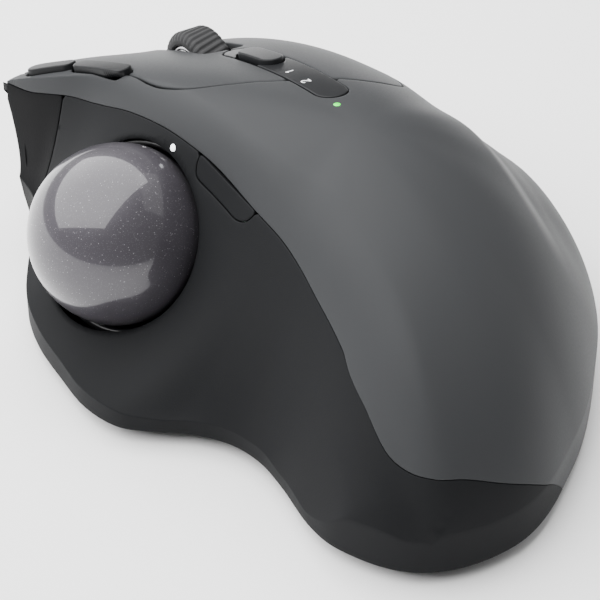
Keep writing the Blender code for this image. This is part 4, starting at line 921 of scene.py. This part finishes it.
class MOUSE_OT_wheel(bpy.types.Operator):
    """Builds the ribbed tyre and the polished rim of the scroll wheel"""
    bl_idname = "mouse.wheel"
    bl_label = "Scroll wheel"

    def execute(self, context):
        look = context.scene.mouse_look
        half = WHEEL_HALF
        inner = WHEEL_R * 0.76
        section = rounded([(-half, inner), (-half, WHEEL_R - 0.9), (-half + 0.9, WHEEL_R),
                           (half - 0.9, WHEEL_R), (half, WHEEL_R - 0.9), (half, inner)], 0.5, 5)
        dense = []
        for p, q in zip(section, np.roll(section, -1, axis=0)):
            n = max(1, int(np.linalg.norm(q - p) / 0.3))
            dense.append(p + (q - p) * np.linspace(0, 1, n, endpoint=False)[:, None])
        section = np.concatenate(dense)
        steps = 528
        points, tris = turned(WHEEL_AT, (1, 0, 0), section, steps, closed=True)
        a = np.tile(np.linspace(0.0, TAU, steps, endpoint=False), len(section))
        along = np.repeat(section[:, 0], steps)
        radius = np.repeat(section[:, 1], steps)
        wave = np.sin(look.rib_count * a + 1.1 * along)
        groove = smooth((0.25 - wave) / 0.7) * smooth((radius - inner - 0.8) / 1.0)
        spoke = points - WHEEL_AT
        spoke[:, 0] = 0.0
        spoke /= np.linalg.norm(spoke, axis=1, keepdims=True)
        points = points - spoke * (look.rib_depth * groove)[:, None]
        solid("wheel_ribbed_tyre", points, tris, "wheel", ["wheel_tyre"], "tyre_rubber")
        out = inner - 0.05
        side = [(0.5, out), (0.2, out - 0.6), (0.9, out - 2.0), (0.9, 2.6), (0.2, 2.2), (0.2, 1.12)]
        section = rounded([(half - a, r) for a, r in side] + [(a - half, r) for a, r in side[::-1]], 0.3, 5)
        rim = turned(WHEEL_AT, (1, 0, 0), section, 128, closed=True)
        solid("wheel_polished_rim", *rim, "wheel", ["wheel_rim"], "rim_polished")
        return {"FINISHED"}


class MOUSE_OT_casing(bpy.types.Operator):
    """Builds the lower casing"""
    bl_idname = "mouse.casing"
    bl_label = "Lower casing"

    def execute(self, context):
        bottom = 2.3
        th = np.linspace(0.0, TAU, 420, endpoint=False)
        deg = np.degrees(th)
        # Where the skirt covers it, the tray stands further in.
        cover = smooth((deg - 113.0) / 4.0) * (1.0 - smooth((deg - 352.0) / 8.0))
        # Under the main buttons the tray's rim stands lower, to leave room for their travel.
        drop = 0.3 + LIP_INSET + 1.5 * smooth((deg - 34.0) / 8.0) * (1.0 - smooth((deg - 112.0) / 5.0))
        lip_x, lip_y = plan(th, 0.0)
        rim = np.maximum(height(lip_x, lip_y) - drop, bottom + 2.4)
        soft = np.minimum(rim, (np.roll(rim, 5) + np.roll(rim, -5)) / 2)
        rim = np.where((deg > 106) & (deg < 132), soft, rim)
        foot = around(th, FOOT_IN[:, 0], FOOT_IN[:, 1])

        def front(x, z):
            """The farthest station the tray reaches: the slanted nose at its left corner, free beyond it."""
            return nose(z) + 30.0 * smooth((x + 24.0) / 16.0)

        rows = []
        for part in np.linspace(0.02, 1.0, 60):
            x, y = plan(th, foot + 1.1)
            y = np.minimum(y, front(x, bottom))
            rows.append(np.stack([MID[0] + (x - MID[0]) * part, MID[1] + (y - MID[1]) * part,
                                  np.full_like(x, bottom)], -1))
        for t in np.linspace(0.0, 1.0, 26)[1:]:
            turn = smooth(t / 0.12)
            inset = foot + 1.1 + (0.35 + 2.2 * cover - foot - 1.1) * (0.35 * turn + 0.65 * t**1.15)
            x, y = plan(th, inset)
            z = bottom + (rim - bottom) * (0.06 * smooth(t / 0.1) + 0.94 * t)
            rows.append(np.stack([x, np.minimum(y, front(x, z)), z], -1))
        grid = np.array(rows)
        n = len(th)
        i = np.arange(n)
        fan = np.stack([np.full(n, grid.shape[0] * n), (i + 1) % n, i], -1)
        points = np.concatenate([grid.reshape(-1, 3), [[MID[0], MID[1], bottom]]])
        tris = np.concatenate([woven(grid.shape[0], n), fan])

        def field(p):
            slot = WHEEL_AT[0] - SLOT_HALF, WHEEL_AT[0] + SLOT_HALF
            rooms = [from_block(p, (slot[0], 45.6, 14.0), (slot[1], 90.0, 90.0)),
                     from_block(p, (11.7, 50.0, 11.2), (20.1, 90.0, 15.0)),
                     from_block(p, (-9.4, -57.5, -1.0), (2.0, -53.5, 7.0))]
            rooms += [from_block(p, (35.0, y - 2.9, -1.0), (47.4, y + 2.9, 5.9)) for y in (-13.0, 3.0)]
            return np.minimum.reduce(rooms)

        panel("casing_tray", (points, tris), field, "body", ["lower_casing"], "casing_matte", FINE_EDGE, 1.5)
        return {"FINISHED"}


class MOUSE_PT_panel(bpy.types.Panel):
    """Lists the mouse's pieces and settings"""
    bl_label = "Trackball mouse"
    bl_idname = "MOUSE_PT_panel"
    bl_space_type = "VIEW_3D"
    bl_region_type = "UI"
    bl_category = "Mouse"

    def draw(self, context):
        for name in MouseLook.__annotations__:
            self.layout.prop(context.scene.mouse_look, name)
        for operator in OPERATORS:
            self.layout.operator(operator.bl_idname)


OPERATORS = (MOUSE_OT_stage, MOUSE_OT_finishes, MOUSE_OT_shell, MOUSE_OT_keys, MOUSE_OT_ball, MOUSE_OT_wheel,
             MOUSE_OT_casing)


def register():
    for cls in (MouseLook, *OPERATORS, MOUSE_PT_panel):
        bpy.utils.register_class(cls)
    bpy.types.Scene.mouse_look = bpy.props.PointerProperty(type=MouseLook)


def unregister():
    del bpy.types.Scene.mouse_look
    for cls in (MOUSE_PT_panel, *reversed(OPERATORS), MouseLook):
        bpy.utils.unregister_class(cls)


def main():
    register()
    for operator in OPERATORS:
        family, name = operator.bl_idname.split(".")
        getattr(getattr(bpy.ops, family), name)()


if __name__ == "__main__":
    main()
